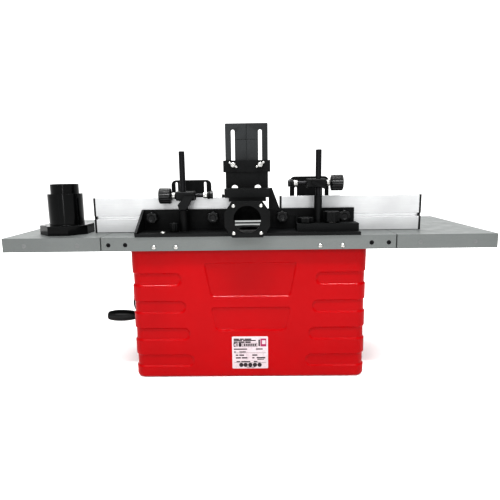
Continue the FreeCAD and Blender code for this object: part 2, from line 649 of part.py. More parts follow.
def fence_base():
    x0, x1 = FENCE_X
    bottom = TABLE_TOP + FENCE_GAP
    wall_y0, wall_y1 = WALL_Y
    port_shell = octagon(42, 32.5, 14, 19, 0, PORT_Z)
    parts = [box(x0, x1, wall_y0, FENCE_REAR, bottom, FLANGE_TOP),
             box(x0, x1, wall_y0, wall_y1, bottom, WALL_TOP),
             prism_yz([(wall_y0, bottom), (FENCE_REAR, bottom), (FENCE_REAR, 320), (wall_y1 + 2, WALL_TOP),
                       (wall_y0, WALL_TOP)], x1 - 5, x1),
             box(x0, LOCK_POINT[0] + 20, 127, 162, bottom, PLATFORM_TOP),
             prism_xz(port_shell, wall_y0, PORT_FLANGE_Y[0] + 1),
             prism_xz(octagon(45, 35.5, 15, 21.5, 0, PORT_Z), *PORT_FLANGE_Y),
             rod(ROD_X[0], ROD_Y, bottom, Z_AXIS, 10.0, WALL_TOP - bottom),
             box(ROD_X[0] - 3, ROD_X[0] + 3, wall_y0 + 1, ROD_Y, bottom, WALL_TOP - 3),
             rod(ROD_X[1], ROD_Y, bottom, Z_AXIS, 8.0, 389 - bottom),
             box(-108, -102, wall_y0 + 1, 122, bottom, 345)]
    parts += [rod(x, wall_y1 - 1, PLATE_SLOT_Z, Y_AXIS, 8.0, 1.6) for x in PLATE_KNOB_X]
    body = fuse(parts)
    duct = octagon(38, 28.5, 13, 17, 0, PORT_Z)
    tools = [prism_xz(duct, wall_y1, PORT_FLANGE_Y[0]),
             rod(0, 190, PORT_Z, Y_AXIS, PORT_R, 30),
             box(-38, 38, wall_y0 - 1, wall_y1 + 2, 300, 336),
             box(-38, 38, wall_y0 - 1, 145, 300, 330),
             box(x0 + 3, CLAMP_POINTS[1][0] - 9, 130, 159, bottom - 1, PLATFORM_TOP - 3),
             box(ROD_X[1] + 11, LOCK_POINT[0] + 17, 130, 159, bottom - 1, PLATFORM_TOP - 3)]
    tools += [rod(x, 100, PLATE_SLOT_Z, Y_AXIS, 3.2, 20) for x in PLATE_KNOB_X]
    tools += [rod(x, y, 300, Z_AXIS, 3.5, 50) for x, y in CLAMP_POINTS]
    tools += [rod(x, ROD_Y, 325, Z_AXIS, ROD_R, 80) for x in ROD_X]
    tools += [rod(sx * PORT_SCREW_OFFSET, 195, PORT_Z + sz * PORT_SCREW_OFFSET, Y_AXIS, 2.6, 20)
              for sx in (1, -1) for sz in (1, -1)]
    tools.append(slot_z(176, 160, 176, 170, 4.0, 305, 320))
    return cut(body, tools)


def port_screws():
    screws = []
    for sx in (1, -1):
        for sz in (1, -1):
            x, z = sx * PORT_SCREW_OFFSET, PORT_Z + sz * PORT_SCREW_OFFSET
            ball = Part.makeSphere(4.5, V(x, PORT_FLANGE_Y[1] - 2.4, z))
            head = ball.common(box(x - 6, x + 6, PORT_FLANGE_Y[1], PORT_FLANGE_Y[1] + 6, z - 6, z + 6))
            shank = rod(x, PORT_FLANGE_Y[0] - 1, z, Y_AXIS, 2.5, 7.5)
            screws.append(head.fuse(shank).removeSplitter())
    return Part.makeCompound(screws)


def hold_down_rods():
    rods = []
    for x in ROD_X:
        post = rod(x, ROD_Y, 325.5, Z_AXIS, ROD_R, 158)
        top_edges = [e for e in post.Edges if isinstance(e.Curve, Part.Circle) and e.BoundBox.ZMin > 480]
        rods.append(post.makeChamfer(0.8, top_edges))
    return Part.makeCompound(rods)


def clamp_nuts():
    nuts = []
    for x, y in CLAMP_POINTS:
        nut = box(x - 9, x + 9, y - 9, y + 9, 295.5, TABLE_UNDER - 0.5)
        nuts.append(nut.cut(rod(x, y, 290, Z_AXIS, 3.0, 20)))
    return Part.makeCompound(nuts)


def fence_clamp_knob_right():
    x, y = CLAMP_POINTS[0]
    knob = fluted_knob(9.5, 18.0, 10, 1.6)
    knob.translate(V(x, y, FLANGE_TOP + 0.4))
    return fuse([knob, rod(x, y, 296, Z_AXIS, 2.95, 30)])


def fence_clamp_knob_left():
    x, y = CLAMP_POINTS[1]
    knob = fluted_knob(18.0, 22.0, 7, 6.0)
    knob.translate(V(x, y, PLATFORM_TOP + 1.6))
    washer = rod(x, y, PLATFORM_TOP + 0.3, Z_AXIS, 10.0, 1.4)
    return fuse([knob, washer, rod(x, y, 296, Z_AXIS, 2.95, 50)])


def fence_lock_knob():
    x, y = LOCK_POINT
    knob = fluted_knob(17.5, 11.0, 7, 5.5)
    knob.translate(V(x, y, PLATFORM_TOP + 0.3))
    return knob


def fence_plate(x0, x1):
    y0, y1 = FENCE_PLATE_Y
    z0, z1 = FENCE_PLATE_Z
    s = PLATE_SLOT_Z
    body = box(x0, x1, y0, y1, z0, z1)
    body = body.makeFillet(0.8, edges_along(body, X_AXIS, lambda c: True))
    tools = [box(x0 - 1, x1 + 1, y1 - 4, y1 + 1, s - 3.6, s + 3.6),
             box(x0 - 1, x1 + 1, y1 - 8.5, y1 - 3, s - 6.5, s + 6.5),
             box(x0 - 1, x1 + 1, y0 + 2.5, y1 - 2.5, s + 10, z1 - 3),
             box(x0 - 1, x1 + 1, y0 + 2.5, y1 - 2.5, z0 + 3, s - 10)]
    return cut(body, tools)


def plate_knob(x):
    knob = aim(fluted_knob(13.0, 14.0, 7, 4.5), Y_AXIS, (x, WALL_Y[1] + 1.0, PLATE_SLOT_Z))
    bolt = rod(x, 99, PLATE_SLOT_Z, Y_AXIS, 2.9, 16)
    head = rod(x, 96.6, PLATE_SLOT_Z, Y_AXIS, 5.2, 3.2)
    return fuse([knob, bolt, head])


# ---------------------------------------------------------------- guard

def guard_bracket():
    y0, y1 = 87.5, 91.5
    gx, half = GUARD_X, GUARD_HALF_X
    gusset = [(-45.0, 405.3), (-51.8, 405.3), (-68.3, WALL_TOP + 0.3), (-45.0, WALL_TOP + 0.3)]
    parts = [box(gx - half, gx + half, y0, y1, 388, 464),
             box(gx - 51, gx + 51, y0, y1 + 2, 439.5, 464.5),
             box(-45.5, 47.0, y1 - 1, 160, 388, 405.5),
             box(-38, 38, WALL_Y[1] + 2, 158, 380, 389),
             prism_xz(gusset, WALL_Y[0] + 0.3, WALL_Y[1] - 0.3)]
    body = fuse(parts)
    tools = [box(-40, 40, 100, 150, 392, 401.5)]
    for side in (1, -1):
        window_x = gx + 1.5 + side * 25.2
        tools += [rod(window_x, 80, 404.8, Y_AXIS, 7.2, 15),
                  box(window_x - 7.2, window_x + 7.2, 86, y1 - 1, 396, 404.8),
                  rod(gx + side * GUARD_BOLT_X, 80, GUARD_BOLT_Z, Y_AXIS, 3.2, 20)]
    return cut(body, tools)


def guard_slide():
    y0, y1 = 83.2, 87.2
    gx = GUARD_X
    plate = box(gx - GUARD_HALF_X, gx + GUARD_HALF_X, y0, y1, 414, 543)
    plate = plate.makeFillet(2.0, edges_along(plate, Y_AXIS, lambda c: True))
    tools = []
    for side in (1, -1):
        x = gx + side * GUARD_BOLT_X
        tools.append(box(x - 4.2, x + 4.2, 80, 90, 453, 526))
        tools += [rod(x, 80, z, Y_AXIS, 4.2, 10) for z in (453, 526)]
    tools.append(box(gx - 0.6, gx + 0.6, y1 - 0.7, y1 + 1, 466, 544))
    tools.append(box(gx - 23, gx + 23, y1 - 0.7, y1 + 1, 508.4, 509.6))
    return cut(plate, tools)


def wing_nut(side):
    x, z = GUARD_X + side * GUARD_BOLT_X, GUARD_BOLT_Z
    outline = [(x + side * dx, z + dz) for dx, dz in ((13, 5), (9, 9), (-13, -5), (-9, -9))]
    parts = [rod(x, 79.6, z, Y_AXIS, 6.5, 3.2), rod(x, 81, z, Y_AXIS, 2.95, 22.5),
             rod(x, 93.9, z, Y_AXIS, 6.0, 6.0), prism_xz(outline, 95.5, 99.5)]
    return fuse(parts)


# ---------------------------------------------------------------- hold-downs

def clamp_arm(side):
    """Block that slides on a rod and carries a comb's pivot bolt. The right one has a strut to a collar."""
    x, z = ROD_X[side], COMB_AXIS_Z[side]
    x0, x1 = CLAMP_BLOCK_X[side]
    block = box(x0, x1, COMB_AXIS_Y - 9.5, ROD_Y + 11, z - 9.5, z + 9.5)
    block = block.makeFillet(4.0, edges_along(block, X_AXIS, lambda c: True))
    parts = [block]
    if side == 0:
        strut = [(111.5, z), (131.0, z), (146.0, 373.0), (143.0, 364.0), (128.5, 364.0)]
        parts += [rod(x, ROD_Y, 363, Z_AXIS, 9.2, 14), prism_xz(strut, 139.0, 150.0)]
    else:
        rib = [(-134.0, 420.5), (-133.0, 415.0), (-161.0, 402.5), (-162.6, 408.0)]
        parts.append(prism_xz(rib, 144.0, 149.0))
    tools = [rod(x, ROD_Y, 350, Z_AXIS, ROD_R + FIT, 100), rod(x - 60, COMB_AXIS_Y, z, X_AXIS, 4.0, 120)]
    return cut(fuse(parts), tools)


def comb(side):
    x0, x1 = COMB_X[side]
    top = COMB_TOP[side]
    y0, y1 = COMB_Y
    plate = box(x0, x1, y0, y1, top - COMB_HEIGHT, top)
    plate = plate.makeFillet(11.0, edges_along(plate, Y_AXIS, lambda c: c.z > top - 5))
    tools = []
    slot_top = (416.0, 402.0)[side]
    slot_low = (394.0, 374.0)[side]
    for x in (x0 + 13.5, x1 - 11.5) if side == 0 else (x0 + 11.5, x1 - 13.0):
        tools.append(box(x - 3, x + 3, y0 - 5, y1 + 5, slot_low, slot_top))
        tools += [rod(x, y0 - 5, z, Y_AXIS, 3.0, 15) for z in (slot_top, slot_low)]
    teeth = 9
    low, high = x0 + 20, x1 - 18
    pitch = (high - low) / teeth
    slit_top = (374.0, 380.0)[side]
    for k in range(teeth + 1):
        x = low + pitch * k
        tools.append(box(x - 1, x + 1, y0 - 5, y1 + 5, 300, slit_top))
    return cut(plate, tools)


def comb_arms(side):
    """Two arms that carry the comb over the top of the fence plate to its pivot."""
    z = COMB_AXIS_Z[side]
    arms = []
    for x in COMB_CHEEK_X[side]:
        arm = fuse([box(x, x + CHEEK_T, COMB_Y[1], COMB_AXIS_Y, z - 3.2, z + 7.5),
                    rod(x, COMB_AXIS_Y, z, X_AXIS, 7.5, CHEEK_T)])
        arms.append(arm.cut(rod(x - 1, COMB_AXIS_Y, z, X_AXIS, 4.0, CHEEK_T + 2)))
    return Part.makeCompound(arms)


def comb_knob(side):
    """Hand knob, pivot bolt with two nuts on it, and its head."""
    axis_z = COMB_AXIS_Z[side]
    out = (1, -1)[side]
    near_cheek, far_cheek = sorted(COMB_CHEEK_X[side], key=lambda x: -out * x)
    near = near_cheek + (CHEEK_T if side == 0 else 0.0)
    far_in = far_cheek + (CHEEK_T if side == 0 else 0.0)
    far_out = far_cheek + (0.0 if side == 0 else CHEEK_T)
    start = near + out * 9.6
    knob = aim(fluted_knob(16.3, 24.5, 18, 2.0), V(out, 0, 0), (start, COMB_AXIS_Y, axis_z))
    end = far_out - out * 0.5
    x0, x1 = sorted((start + out * 2, end))
    parts = [knob, rod(x0, COMB_AXIS_Y, axis_z, X_AXIS, 3.95, x1 - x0)]
    spans = ((near + out * 0.4, near + out * 7.2, 11.0), (far_in + out * 0.5, far_in + out * 9.0, 11.0),
             (end - out * 6.0, end, 13.0))
    for a, b, flats in spans:
        parts.append(prism_yz(hexagon(flats, COMB_AXIS_Y, axis_z), *sorted((a, b))))
    return fuse(parts)


# ---------------------------------------------------------------- hose adapter

def dust_adapter():
    x, y = ADAPTER
    floor = TABLE_TOP + 0.2
    corner = 52.0 * (2.0 - math.sqrt(2.0))
    flange = prism_xy(octagon(52, 52, corner, corner, x, y), floor, 331)
    flange = flange.makeChamfer(1.2, [e for e in flange.Edges if e.BoundBox.ZMin > 330.9])
    parts = [flange, rod(x, y, 330, Z_AXIS, 36.5, 68), rod(x, y, 397, Z_AXIS, 29.5, 21.7)]
    tools = [rod(x, y, 300, Z_AXIS, 33.0, 94), rod(x, y, 390, Z_AXIS, 26.0, 40)]
    tools += [rod(x + sx * 33, y + sy * 33, 300, Z_AXIS, 2.8, 40) for sx in (1, -1) for sy in (1, -1)]
    return cut(fuse(parts), tools)


def all_nodes():
    return {
        "housing_shell": housing_shell(),
        "rating_label": rating_label(),
        "main_table": main_table(),
        "extension_right": extension(1),
        "extension_left": extension(-1),
        "joining_bars": joining_bars(),
        "joining_bolts": joining_bolts(),
        "skirt_screws": skirt_screws(),
        "insert_ring": insert_ring(),
        "switch_box": switch_box(),
        "stop_button": press_button(STOP_Z),
        "start_button": press_button(START_Z),
        "reset_button": reset_button(),
        "speed_dial": speed_dial(),
        "cable_gland": cable_gland(),
        "guide_columns": guide_columns(),
        "lift_bracket": lift_bracket(),
        "lead_screw": lead_screw(),
        "driven_bevel_gear": driven_bevel_gear(),
        "driving_bevel_gear": driving_bevel_gear(),
        "crank_bush": crank_bush(),
        "crank_shaft": crank_shaft(),
        "crank_arm": crank_arm(),
        "crank_grip": crank_grip(),
        "motor_carriage": motor_carriage(),
        "lift_nut": lift_nut(),
        "motor_housing": motor_housing(),
        "brush_caps": brush_caps(),
        "stator_core": stator_core(),
        "motor_bearings": motor_bearings(),
        "rotor_shaft": rotor_shaft(),
        "cooling_fan": cooling_fan(),
        "collet": collet(),
        "collet_nut": collet_nut(),
        "fence_base": fence_base(),
        "port_screws": port_screws(),
        "hold_down_rods": hold_down_rods(),
        "clamp_nuts": clamp_nuts(),
        "fence_clamp_knob_right": fence_clamp_knob_right(),
        "fence_clamp_knob_left": fence_clamp_knob_left(),
        "fence_lock_knob": fence_lock_knob(),
        "fence_plate_right": fence_plate(30.0, 338.0),
        "fence_plate_left": fence_plate(-375.0, -69.0),
        "plate_knob_right_outer": plate_knob(PLATE_KNOB_X[0]),
        "plate_knob_right_inner": plate_knob(PLATE_KNOB_X[1]),
        "plate_knob_left_inner": plate_knob(PLATE_KNOB_X[2]),
        "plate_knob_left_outer": plate_knob(PLATE_KNOB_X[3]),
        "guard_bracket": guard_bracket(),
        "guard_slide": guard_slide(),
        "wing_nut_right": wing_nut(1),
        "wing_nut_left": wing_nut(-1),
        "clamp_arm_right": clamp_arm(0),
        "clamp_arm_left": clamp_arm(1),
        "comb_right": comb(0),
        "comb_left": comb(1),
        "comb_arms_right": comb_arms(0),
        "comb_arms_left": comb_arms(1),
        "comb_knob_right": comb_knob(0),
        "comb_knob_left": comb_knob(1),
        "dust_adapter": dust_adapter(),
    }


os.makedirs("parts", exist_ok=True)
for node, shape in all_nodes().items():
    print(node, len(shape.Solids), shape.isValid(), round(shape.Volume / 1000.0, 2))
    shape.exportStep("parts/" + node + ".step")
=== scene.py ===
import math
import bmesh
import bpy
from mathutils import Matrix, Vector


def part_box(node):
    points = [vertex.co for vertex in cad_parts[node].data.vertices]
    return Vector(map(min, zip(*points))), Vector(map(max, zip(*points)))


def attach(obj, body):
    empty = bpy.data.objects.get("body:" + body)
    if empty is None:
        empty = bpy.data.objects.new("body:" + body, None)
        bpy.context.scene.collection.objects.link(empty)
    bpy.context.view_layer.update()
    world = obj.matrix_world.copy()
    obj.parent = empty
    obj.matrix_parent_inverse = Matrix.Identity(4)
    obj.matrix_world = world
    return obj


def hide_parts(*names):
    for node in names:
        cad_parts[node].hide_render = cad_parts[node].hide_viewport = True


# Router table seen from its dust-port side. Lengths are in millimetres along the axes of the CAD frame,
# except in the studio and the camera, where they are in metres.

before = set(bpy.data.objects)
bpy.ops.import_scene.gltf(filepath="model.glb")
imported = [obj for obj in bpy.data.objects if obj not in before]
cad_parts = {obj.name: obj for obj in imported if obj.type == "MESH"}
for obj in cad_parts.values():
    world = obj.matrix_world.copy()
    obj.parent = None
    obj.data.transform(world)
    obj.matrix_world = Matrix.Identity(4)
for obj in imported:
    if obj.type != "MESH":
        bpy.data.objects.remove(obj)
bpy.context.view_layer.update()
MM = 0.001
X_AXIS, Y_AXIS, Z_AXIS = Vector((1, 0, 0)), Vector((0, 1, 0)), Vector((0, 0, 1))


def box_mm(node):
    low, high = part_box(node)
    return low / MM, high / MM


# ---------------------------------------------------------------- materials

class Shader:
    """A Principled material with helpers for its procedural nodes."""

    def __init__(self, name):
        self.material = bpy.data.materials.new(name)
        self.material.use_nodes = True
        self.tree = self.material.node_tree
        self.bsdf = self.tree.nodes["Principled BSDF"]
        self.coords = self.tree.nodes.new("ShaderNodeTexCoord").outputs["Object"]

    def node(self, kind, **inputs):
        made = self.tree.nodes.new(kind)
        for key, value in inputs.items():
            made.inputs[key.replace("_", " ")].default_value = value
        return made

    def link(self, output, target):
        self.tree.links.new(output, target)

    def stretched(self, scale):
        mapping = self.node("ShaderNodeMapping", Scale=scale)
        self.link(self.coords, mapping.inputs["Vector"])
        return mapping.outputs["Vector"]

    def noise(self, scale, detail=3.0, vector=None, roughness=0.55):
        made = self.node("ShaderNodeTexNoise", Scale=scale, Detail=detail, Roughness=roughness)
        self.link(vector or self.coords, made.inputs["Vector"])
        return made.outputs["Fac"]

    def cells(self, scale):
        made = self.node("ShaderNodeTexVoronoi", Scale=scale)
        self.link(self.coords, made.inputs["Vector"])
        return made.outputs["Distance"]

    def spread(self, value, low, high, start=0.3, end=0.7):
        made = self.node("ShaderNodeMapRange", From_Min=start, From_Max=end, To_Min=low, To_Max=high)
        self.link(value, made.inputs["Value"])
        return made.outputs["Result"]

    def times(self, first, second):
        made = self.tree.nodes.new("ShaderNodeMath")
        made.operation = "MULTIPLY"
        self.link(first, made.inputs[0])
        self.link(second, made.inputs[1])
        return made.outputs[0]

    def band(self, value, low, high, soft=0.1):
        """1 where value lies between two lengths in mm, 0 elsewhere."""
        above = self.spread(value, 0.0, 1.0, (low - soft) * MM, low * MM)
        below = self.spread(value, 1.0, 0.0, high * MM, (high + soft) * MM)
        return self.times(above, below)

    def mix(self, factor, first, second):
        made = self.tree.nodes.new("ShaderNodeMix")
        made.data_type = "RGBA"
        self.link(factor, made.inputs["Factor"])
        for value, socket in ((first, made.inputs[6]), (second, made.inputs[7])):
            if isinstance(value, bpy.types.NodeSocket):
                self.link(value, socket)
            else:
                socket.default_value = (*value, 1.0)
        return made.outputs[2]

    def bump(self, layers):
        """Layers of (height, distance in mm), the broadest first."""
        normal = None
        for height, distance in layers:
            made = self.node("ShaderNodeBump", Strength=1.0, Distance=distance * MM)
            self.link(height, made.inputs["Height"])
            if normal:
                self.link(normal, made.inputs["Normal"])
            normal = made.outputs["Normal"]
        self.link(normal, self.bsdf.inputs["Normal"])

    def edges(self, low=0.52, high=0.60):
        """1 on worn outer edges, 0 elsewhere."""
        geometry = self.tree.nodes.new("ShaderNodeNewGeometry")
        return self.spread(geometry.outputs["Pointiness"], 0.0, 1.0, low, high)


def tinted(colour, amount):
    return tuple(max(0.0, min(1.0, c * amount)) for c in colour)


def painted(name, colour, rough=(0.16, 0.24), coat=0.04, shine=0.08):
    s = Shader(name)
    patches = s.spread(s.noise(7.0, 4.0), 0.0, 1.0)
    base = s.mix(patches, tinted(colour, 0.93), tinted(colour, 1.06))
    dust = s.spread(s.noise(420.0, 2.0), 0.0, 0.05, 0.62, 0.8)
    s.link(s.mix(dust, base, tinted(colour, 1.8)), s.bsdf.inputs["Base Color"])
    s.bsdf.inputs["Specular IOR Level"].default_value = shine
    s.link(s.spread(s.noise(60.0, 5.0), *rough), s.bsdf.inputs["Roughness"])
    s.bsdf.inputs["Coat Weight"].default_value = coat
    s.bsdf.inputs["Coat Roughness"].default_value = 0.07
    s.bump([(s.noise(7.0, 2.0), 0.12), (s.noise(420.0, 2.0), 0.006)])
    return s.material


def moulded(name, colour, rough=(0.38, 0.56), grain=1500.0, depth=0.035, worn=1.9, shine=0.22):
    s = Shader(name)
    patches = s.spread(s.noise(22.0, 4.0), 0.0, 1.0)
    base = s.mix(patches, tinted(colour, 0.75), tinted(colour, 1.3))
    edge = s.mix(s.edges(), base, tinted(colour, worn))
    s.link(edge, s.bsdf.inputs["Base Color"])
    s.bsdf.inputs["Specular IOR Level"].default_value = shine
    s.link(s.spread(s.noise(140.0, 4.0), *rough), s.bsdf.inputs["Roughness"])
    s.bump([(s.noise(45.0, 3.0), 0.10), (s.cells(grain), depth)])
    return s.material


def metal(name, colour, rough=(0.22, 0.36), lines=None, metallic=1.0, depth=0.012, grain=900.0, painted_groove_light=None):
    """Lines stretches the grain along one axis. The last argument is a zone in a recess that is painted
    lighter, as painted light that lifts its shade, given in the same form as the fence plate's groove below.
    """
    s = Shader(name)
    vector = s.stretched(lines) if lines else s.coords
    streaks = s.noise(grain, 3.0, vector)
    patches = s.spread(s.noise(16.0, 4.0), 0.0, 1.0)
    base = s.mix(patches, tinted(colour, 0.9), tinted(colour, 1.07))
    shade = s.mix(s.spread(streaks, 0.0, 0.35), base, tinted(colour, 0.78))
    # Painted light: the zone is mixed towards a lighter colour to lift the shade that falls in the recess
    if painted_groove_light:
        z0, z1, y0, y1, painted_lift_colour = painted_groove_light
        split = s.tree.nodes.new("ShaderNodeSeparateXYZ")
        s.link(s.coords, split.inputs["Vector"])
        inside = s.times(s.band(split.outputs["Z"], z0, z1), s.band(split.outputs["Y"], y0, y1))
        shade = s.mix(inside, shade, painted_lift_colour)
    s.link(shade, s.bsdf.inputs["Base Color"])
    s.bsdf.inputs["Metallic"].default_value = metallic
    s.link(s.spread(streaks, *rough), s.bsdf.inputs["Roughness"])
    s.bump([(s.noise(30.0, 3.0), 0.05), (streaks, depth)])
    return s.material


# How far the fine lines on the ground top of the table brighten its colour, at least and at most
TOP_TINT = (1.0, 1.25)


def cast_alloy(name, colour):
    """Cast table: ground top with fine lines along X, sand-cast grain on every other face."""
    s = Shader(name)
    geometry = s.tree.nodes.new("ShaderNodeNewGeometry")
    split = s.tree.nodes.new("ShaderNodeSeparateXYZ")
    s.link(geometry.outputs["Normal"], split.inputs["Vector"])
    top = s.spread(split.outputs["Z"], 0.0, 1.0, 0.85, 0.95)
    lines = s.noise(800.0, 3.0, s.stretched((0.03, 1.0, 1.0)))
    grain = s.noise(650.0, 4.0)
    cloud = s.spread(s.noise(9.0, 5.0), 0.0, 1.0)
    base = s.mix(cloud, tinted(colour, 0.94), tinted(colour, 1.05))
    ground = s.mix(s.spread(lines, 0.0, 1.0), *(tinted(colour, t) for t in TOP_TINT))
    speckle = s.mix(s.spread(grain, 0.0, 0.5), base, tinted(colour, 0.72))
    s.link(s.mix(top, speckle, ground), s.bsdf.inputs["Base Color"])
    s.bsdf.inputs["Metallic"].default_value = 0.55
    s.link(s.spread(s.noise(35.0, 5.0), 0.38, 0.50), s.bsdf.inputs["Roughness"])
    s.bump([(s.noise(24.0, 3.0), 0.04), (grain, 0.03), (lines, 0.008)])
    return s.material


def printed_film(name):
    s = Shader(name)
    base = s.mix(s.spread(s.noise(40.0, 3.0), 0.0, 1.0), (0.262, 0.226, 0.237), (0.292, 0.254, 0.265))
    s.link(base, s.bsdf.inputs["Base Color"])
    s.link(s.spread(s.noise(90.0, 3.0), 0.22, 0.36), s.bsdf.inputs["Roughness"])
    s.bump([(s.noise(35.0, 2.0), 0.06), (s.noise(800.0, 2.0), 0.004)])
    return s.material


def floor_material():
    s = Shader("studio_floor")
    base = s.mix(s.spread(s.noise(2.5, 4.0), 0.0, 1.0), (0.94, 0.94, 0.94), (0.96, 0.96, 0.96))
    s.link(base, s.bsdf.inputs["Base Color"])
    s.link(s.spread(s.noise(14.0, 4.0), 0.65, 0.8), s.bsdf.inputs["Roughness"])
    s.bsdf.inputs["Specular IOR Level"].default_value = 0.2
    return s.material


RED = painted("red_gloss_paint", (0.190, 0.0002, 0.0018), coat=0.16, shine=0.02)
ALLOY = cast_alloy("cast_alloy", (0.10, 0.106, 0.104))
BLACK = moulded("black_moulding", (0.0027, 0.0029, 0.0030), shine=0.12)
BLACK_SMOOTH = moulded("black_smooth_moulding", (0.0035, 0.0037, 0.0039), (0.26, 0.42), 2600.0, 0.015)
BLACK_MATTE = moulded("black_matte_moulding", (0.0022, 0.0024, 0.0025), (0.55, 0.7), shine=0.012)
BLACK_GLOSS = moulded("black_gloss_moulding", (0.0020, 0.0022, 0.0023), (0.10, 0.17), 2600.0, 0.006,
                      shine=0.17)
BLACK_GUARD = moulded("black_guard_moulding", (0.0075, 0.0082, 0.0086), shine=0.2)
BLACK_STEEL = metal("black_oxide_steel", (0.012, 0.012, 0.013), (0.30, 0.48), (1, 1, 0.05), 0.85)
PLUG = metal("dull_plug_alloy", (0.11, 0.113, 0.113), (0.4, 0.55), None, 0.5)
# Inside of the groove in a fence plate, painted lighter to lift the shade in the recess: low z, high z, low
# y, high y, and the painted-light colour it takes
PAINTED_GROOVE_LIGHT = (334.0, 354.0, 92.6, 103.9, (0.64, 0.645, 0.65))
EXTRUSION = metal("pale_extrusion", (0.335, 0.338, 0.341), (0.30, 0.44), (0.02, 1, 1), 0.4, painted_groove_light=PAINTED_GROOVE_LIGHT)
ZINC = metal("zinc_plate", (0.32, 0.32, 0.31), (0.24, 0.38))
STEEL = metal("ground_steel", (0.56, 0.57, 0.58), (0.16, 0.30), (1, 1, 0.06))
BRASS = metal("turned_brass", (0.76, 0.56, 0.24), (0.2, 0.34), (1, 1, 8))
BRONZE = metal("sintered_bronze", (0.52, 0.35, 0.18), (0.36, 0.5))
MOTOR_ALLOY = metal("die_cast_alloy", (0.52, 0.53, 0.54), (0.42, 0.6), None, 0.9, 0.04)
WINDING = metal("copper_and_laminations", (0.50, 0.27, 0.15), (0.3, 0.5), (1, 1, 14), 0.85, 0.05, 500.0)
FILM = printed_film("label_film")
INK = moulded("label_ink", (0.010, 0.006, 0.008), (0.35, 0.5), 900.0, 0.004, 1.0)
RED_INK = moulded("label_red_ink", (0.16, 0.012, 0.05), (0.35, 0.5), 900.0, 0.004, 1.0)
GREEN_PLASTIC = moulded("green_plastic", (0.02, 0.30, 0.06), (0.22, 0.34), 1800.0, 0.012, 1.25)
RED_PLASTIC = moulded("red_plastic", (0.55, 0.015, 0.015), (0.22, 0.34), 1800.0, 0.012, 1.25)
WHITE_MARK = moulded("white_mark", (0.75, 0.75, 0.73), (0.35, 0.5), 1200.0, 0.01, 1.0)

NODE_MATERIALS = {
    RED: ["housing_shell"],
    FILM: ["rating_label"],
    ALLOY: ["main_table", "extension_right", "extension_left"],
    BLACK_GLOSS: ["dust_adapter"],
    BLACK_MATTE: ["insert_ring"],
    BLACK_GUARD: ["guard_slide"],
    BLACK: ["switch_box", "fence_base", "guard_bracket", "clamp_arm_right", "clamp_arm_left", "comb_right",
            "comb_left", "comb_arms_right", "comb_arms_left", "cable_gland", "reset_button", "brush_caps",
            "fence_clamp_knob_right", "fence_clamp_knob_left", "fence_lock_knob", "cooling_fan"],
    BLACK_SMOOTH: ["crank_grip", "speed_dial", "plate_knob_right_outer", "plate_knob_right_inner",
                   "plate_knob_left_inner", "plate_knob_left_outer", "comb_knob_right", "comb_knob_left"],
    BLACK_STEEL: ["joining_bars", "joining_bolts", "crank_arm", "hold_down_rods"],
    EXTRUSION: ["fence_plate_right", "fence_plate_left"],
    ZINC: ["skirt_screws", "port_screws", "clamp_nuts", "collet_nut", "wing_nut_right", "wing_nut_left"],
    STEEL: ["guide_columns", "lead_screw", "driven_bevel_gear", "driving_bevel_gear", "crank_shaft",
            "motor_bearings", "rotor_shaft", "collet"],
    BRASS: ["lift_nut"],
    BRONZE: ["crank_bush"],
    MOTOR_ALLOY: ["lift_bracket", "motor_carriage", "motor_housing"],
    WINDING: ["stator_core"],
    GREEN_PLASTIC: ["start_button"],
    RED_PLASTIC: ["stop_button"],
}


def dress_nodes():
    for material, names in NODE_MATERIALS.items():
        for name in names:
            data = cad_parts[name].data
            data.materials.clear()
            data.materials.append(material)


# Edge radius in mm of each CAD node that stays in view
EDGE_RADII = {
    "main_table": 1.1, "extension_right": 1.1, "extension_left": 1.1, "fence_base": 0.7, "guard_bracket": 0.6,
    "guard_slide": 0.5, "fence_plate_right": 0.35, "fence_plate_left": 0.35, "comb_right": 0.5,
    "comb_left": 0.5, "insert_ring": 0.4, "dust_adapter": 0.8, "switch_box": 0.8, "crank_arm": 0.6,
    "joining_bars": 0.4, "start_button": 0.7, "stop_button": 0.7, "reset_button": 0.7, "cable_gland": 0.5,
    "clamp_arm_right": 1.2, "clamp_arm_left": 1.2, "comb_arms_right": 0.6, "comb_arms_left": 0.6,
    "lift_bracket": 0.8, "motor_carriage": 0.8,
}
WELD_DISTANCE = 1e-6                   # metres
FLAT_ANGLE, SHARP_ANGLE = 0.3, 40.0    # degrees: faces joined below the first, edges rounded above the second


def soften_edges():
    """Rounds the sharp edges of the CAD nodes with modifiers."""
    for name, radius in EDGE_RADII.items():
        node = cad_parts[name]
        bpy.context.view_layer.objects.active = node
        if node.data.has_custom_normals:
            bpy.ops.mesh.customdata_custom_splitnormals_clear()
        node.data.shade_smooth()
        weld = node.modifiers.new("weld", "WELD")
        weld.merge_threshold = WELD_DISTANCE
        planar = node.modifiers.new("planar", "DECIMATE")
        planar.decimate_type = "DISSOLVE"
        planar.angle_limit = math.radians(FLAT_ANGLE)
        bevel = node.modifiers.new("edge", "BEVEL")
        bevel.width = radius * MM
        bevel.segments = 3
        bevel.limit_method = "ANGLE"
        bevel.angle_limit = math.radians(SHARP_ANGLE)
        bevel.use_clamp_overlap = True
        bevel.harden_normals = True


# ---------------------------------------------------------------- mesh helpers

def add_piece(name, vertices, faces, material, body, angle=35.0):
    mesh = bpy.data.meshes.new(name)
    mesh.from_pydata([Vector(v) * MM for v in vertices], [], faces)
    mesh.validate()
    bm = bmesh.new()
    bm.from_mesh(mesh)
    bmesh.ops.recalc_face_normals(bm, faces=bm.faces)
    bm.to_mesh(mesh)
    bm.free()
    return finish_piece(name, mesh, material, body, angle)


def finish_piece(name, mesh, material, body, angle=35.0):
    mesh.shade_smooth()
    mesh.set_sharp_from_angle(angle=math.radians(angle))
    mesh.materials.append(material)
    piece = bpy.data.objects.new(name, mesh)
    bpy.context.scene.collection.objects.link(piece)
    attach(piece, body)
    return piece


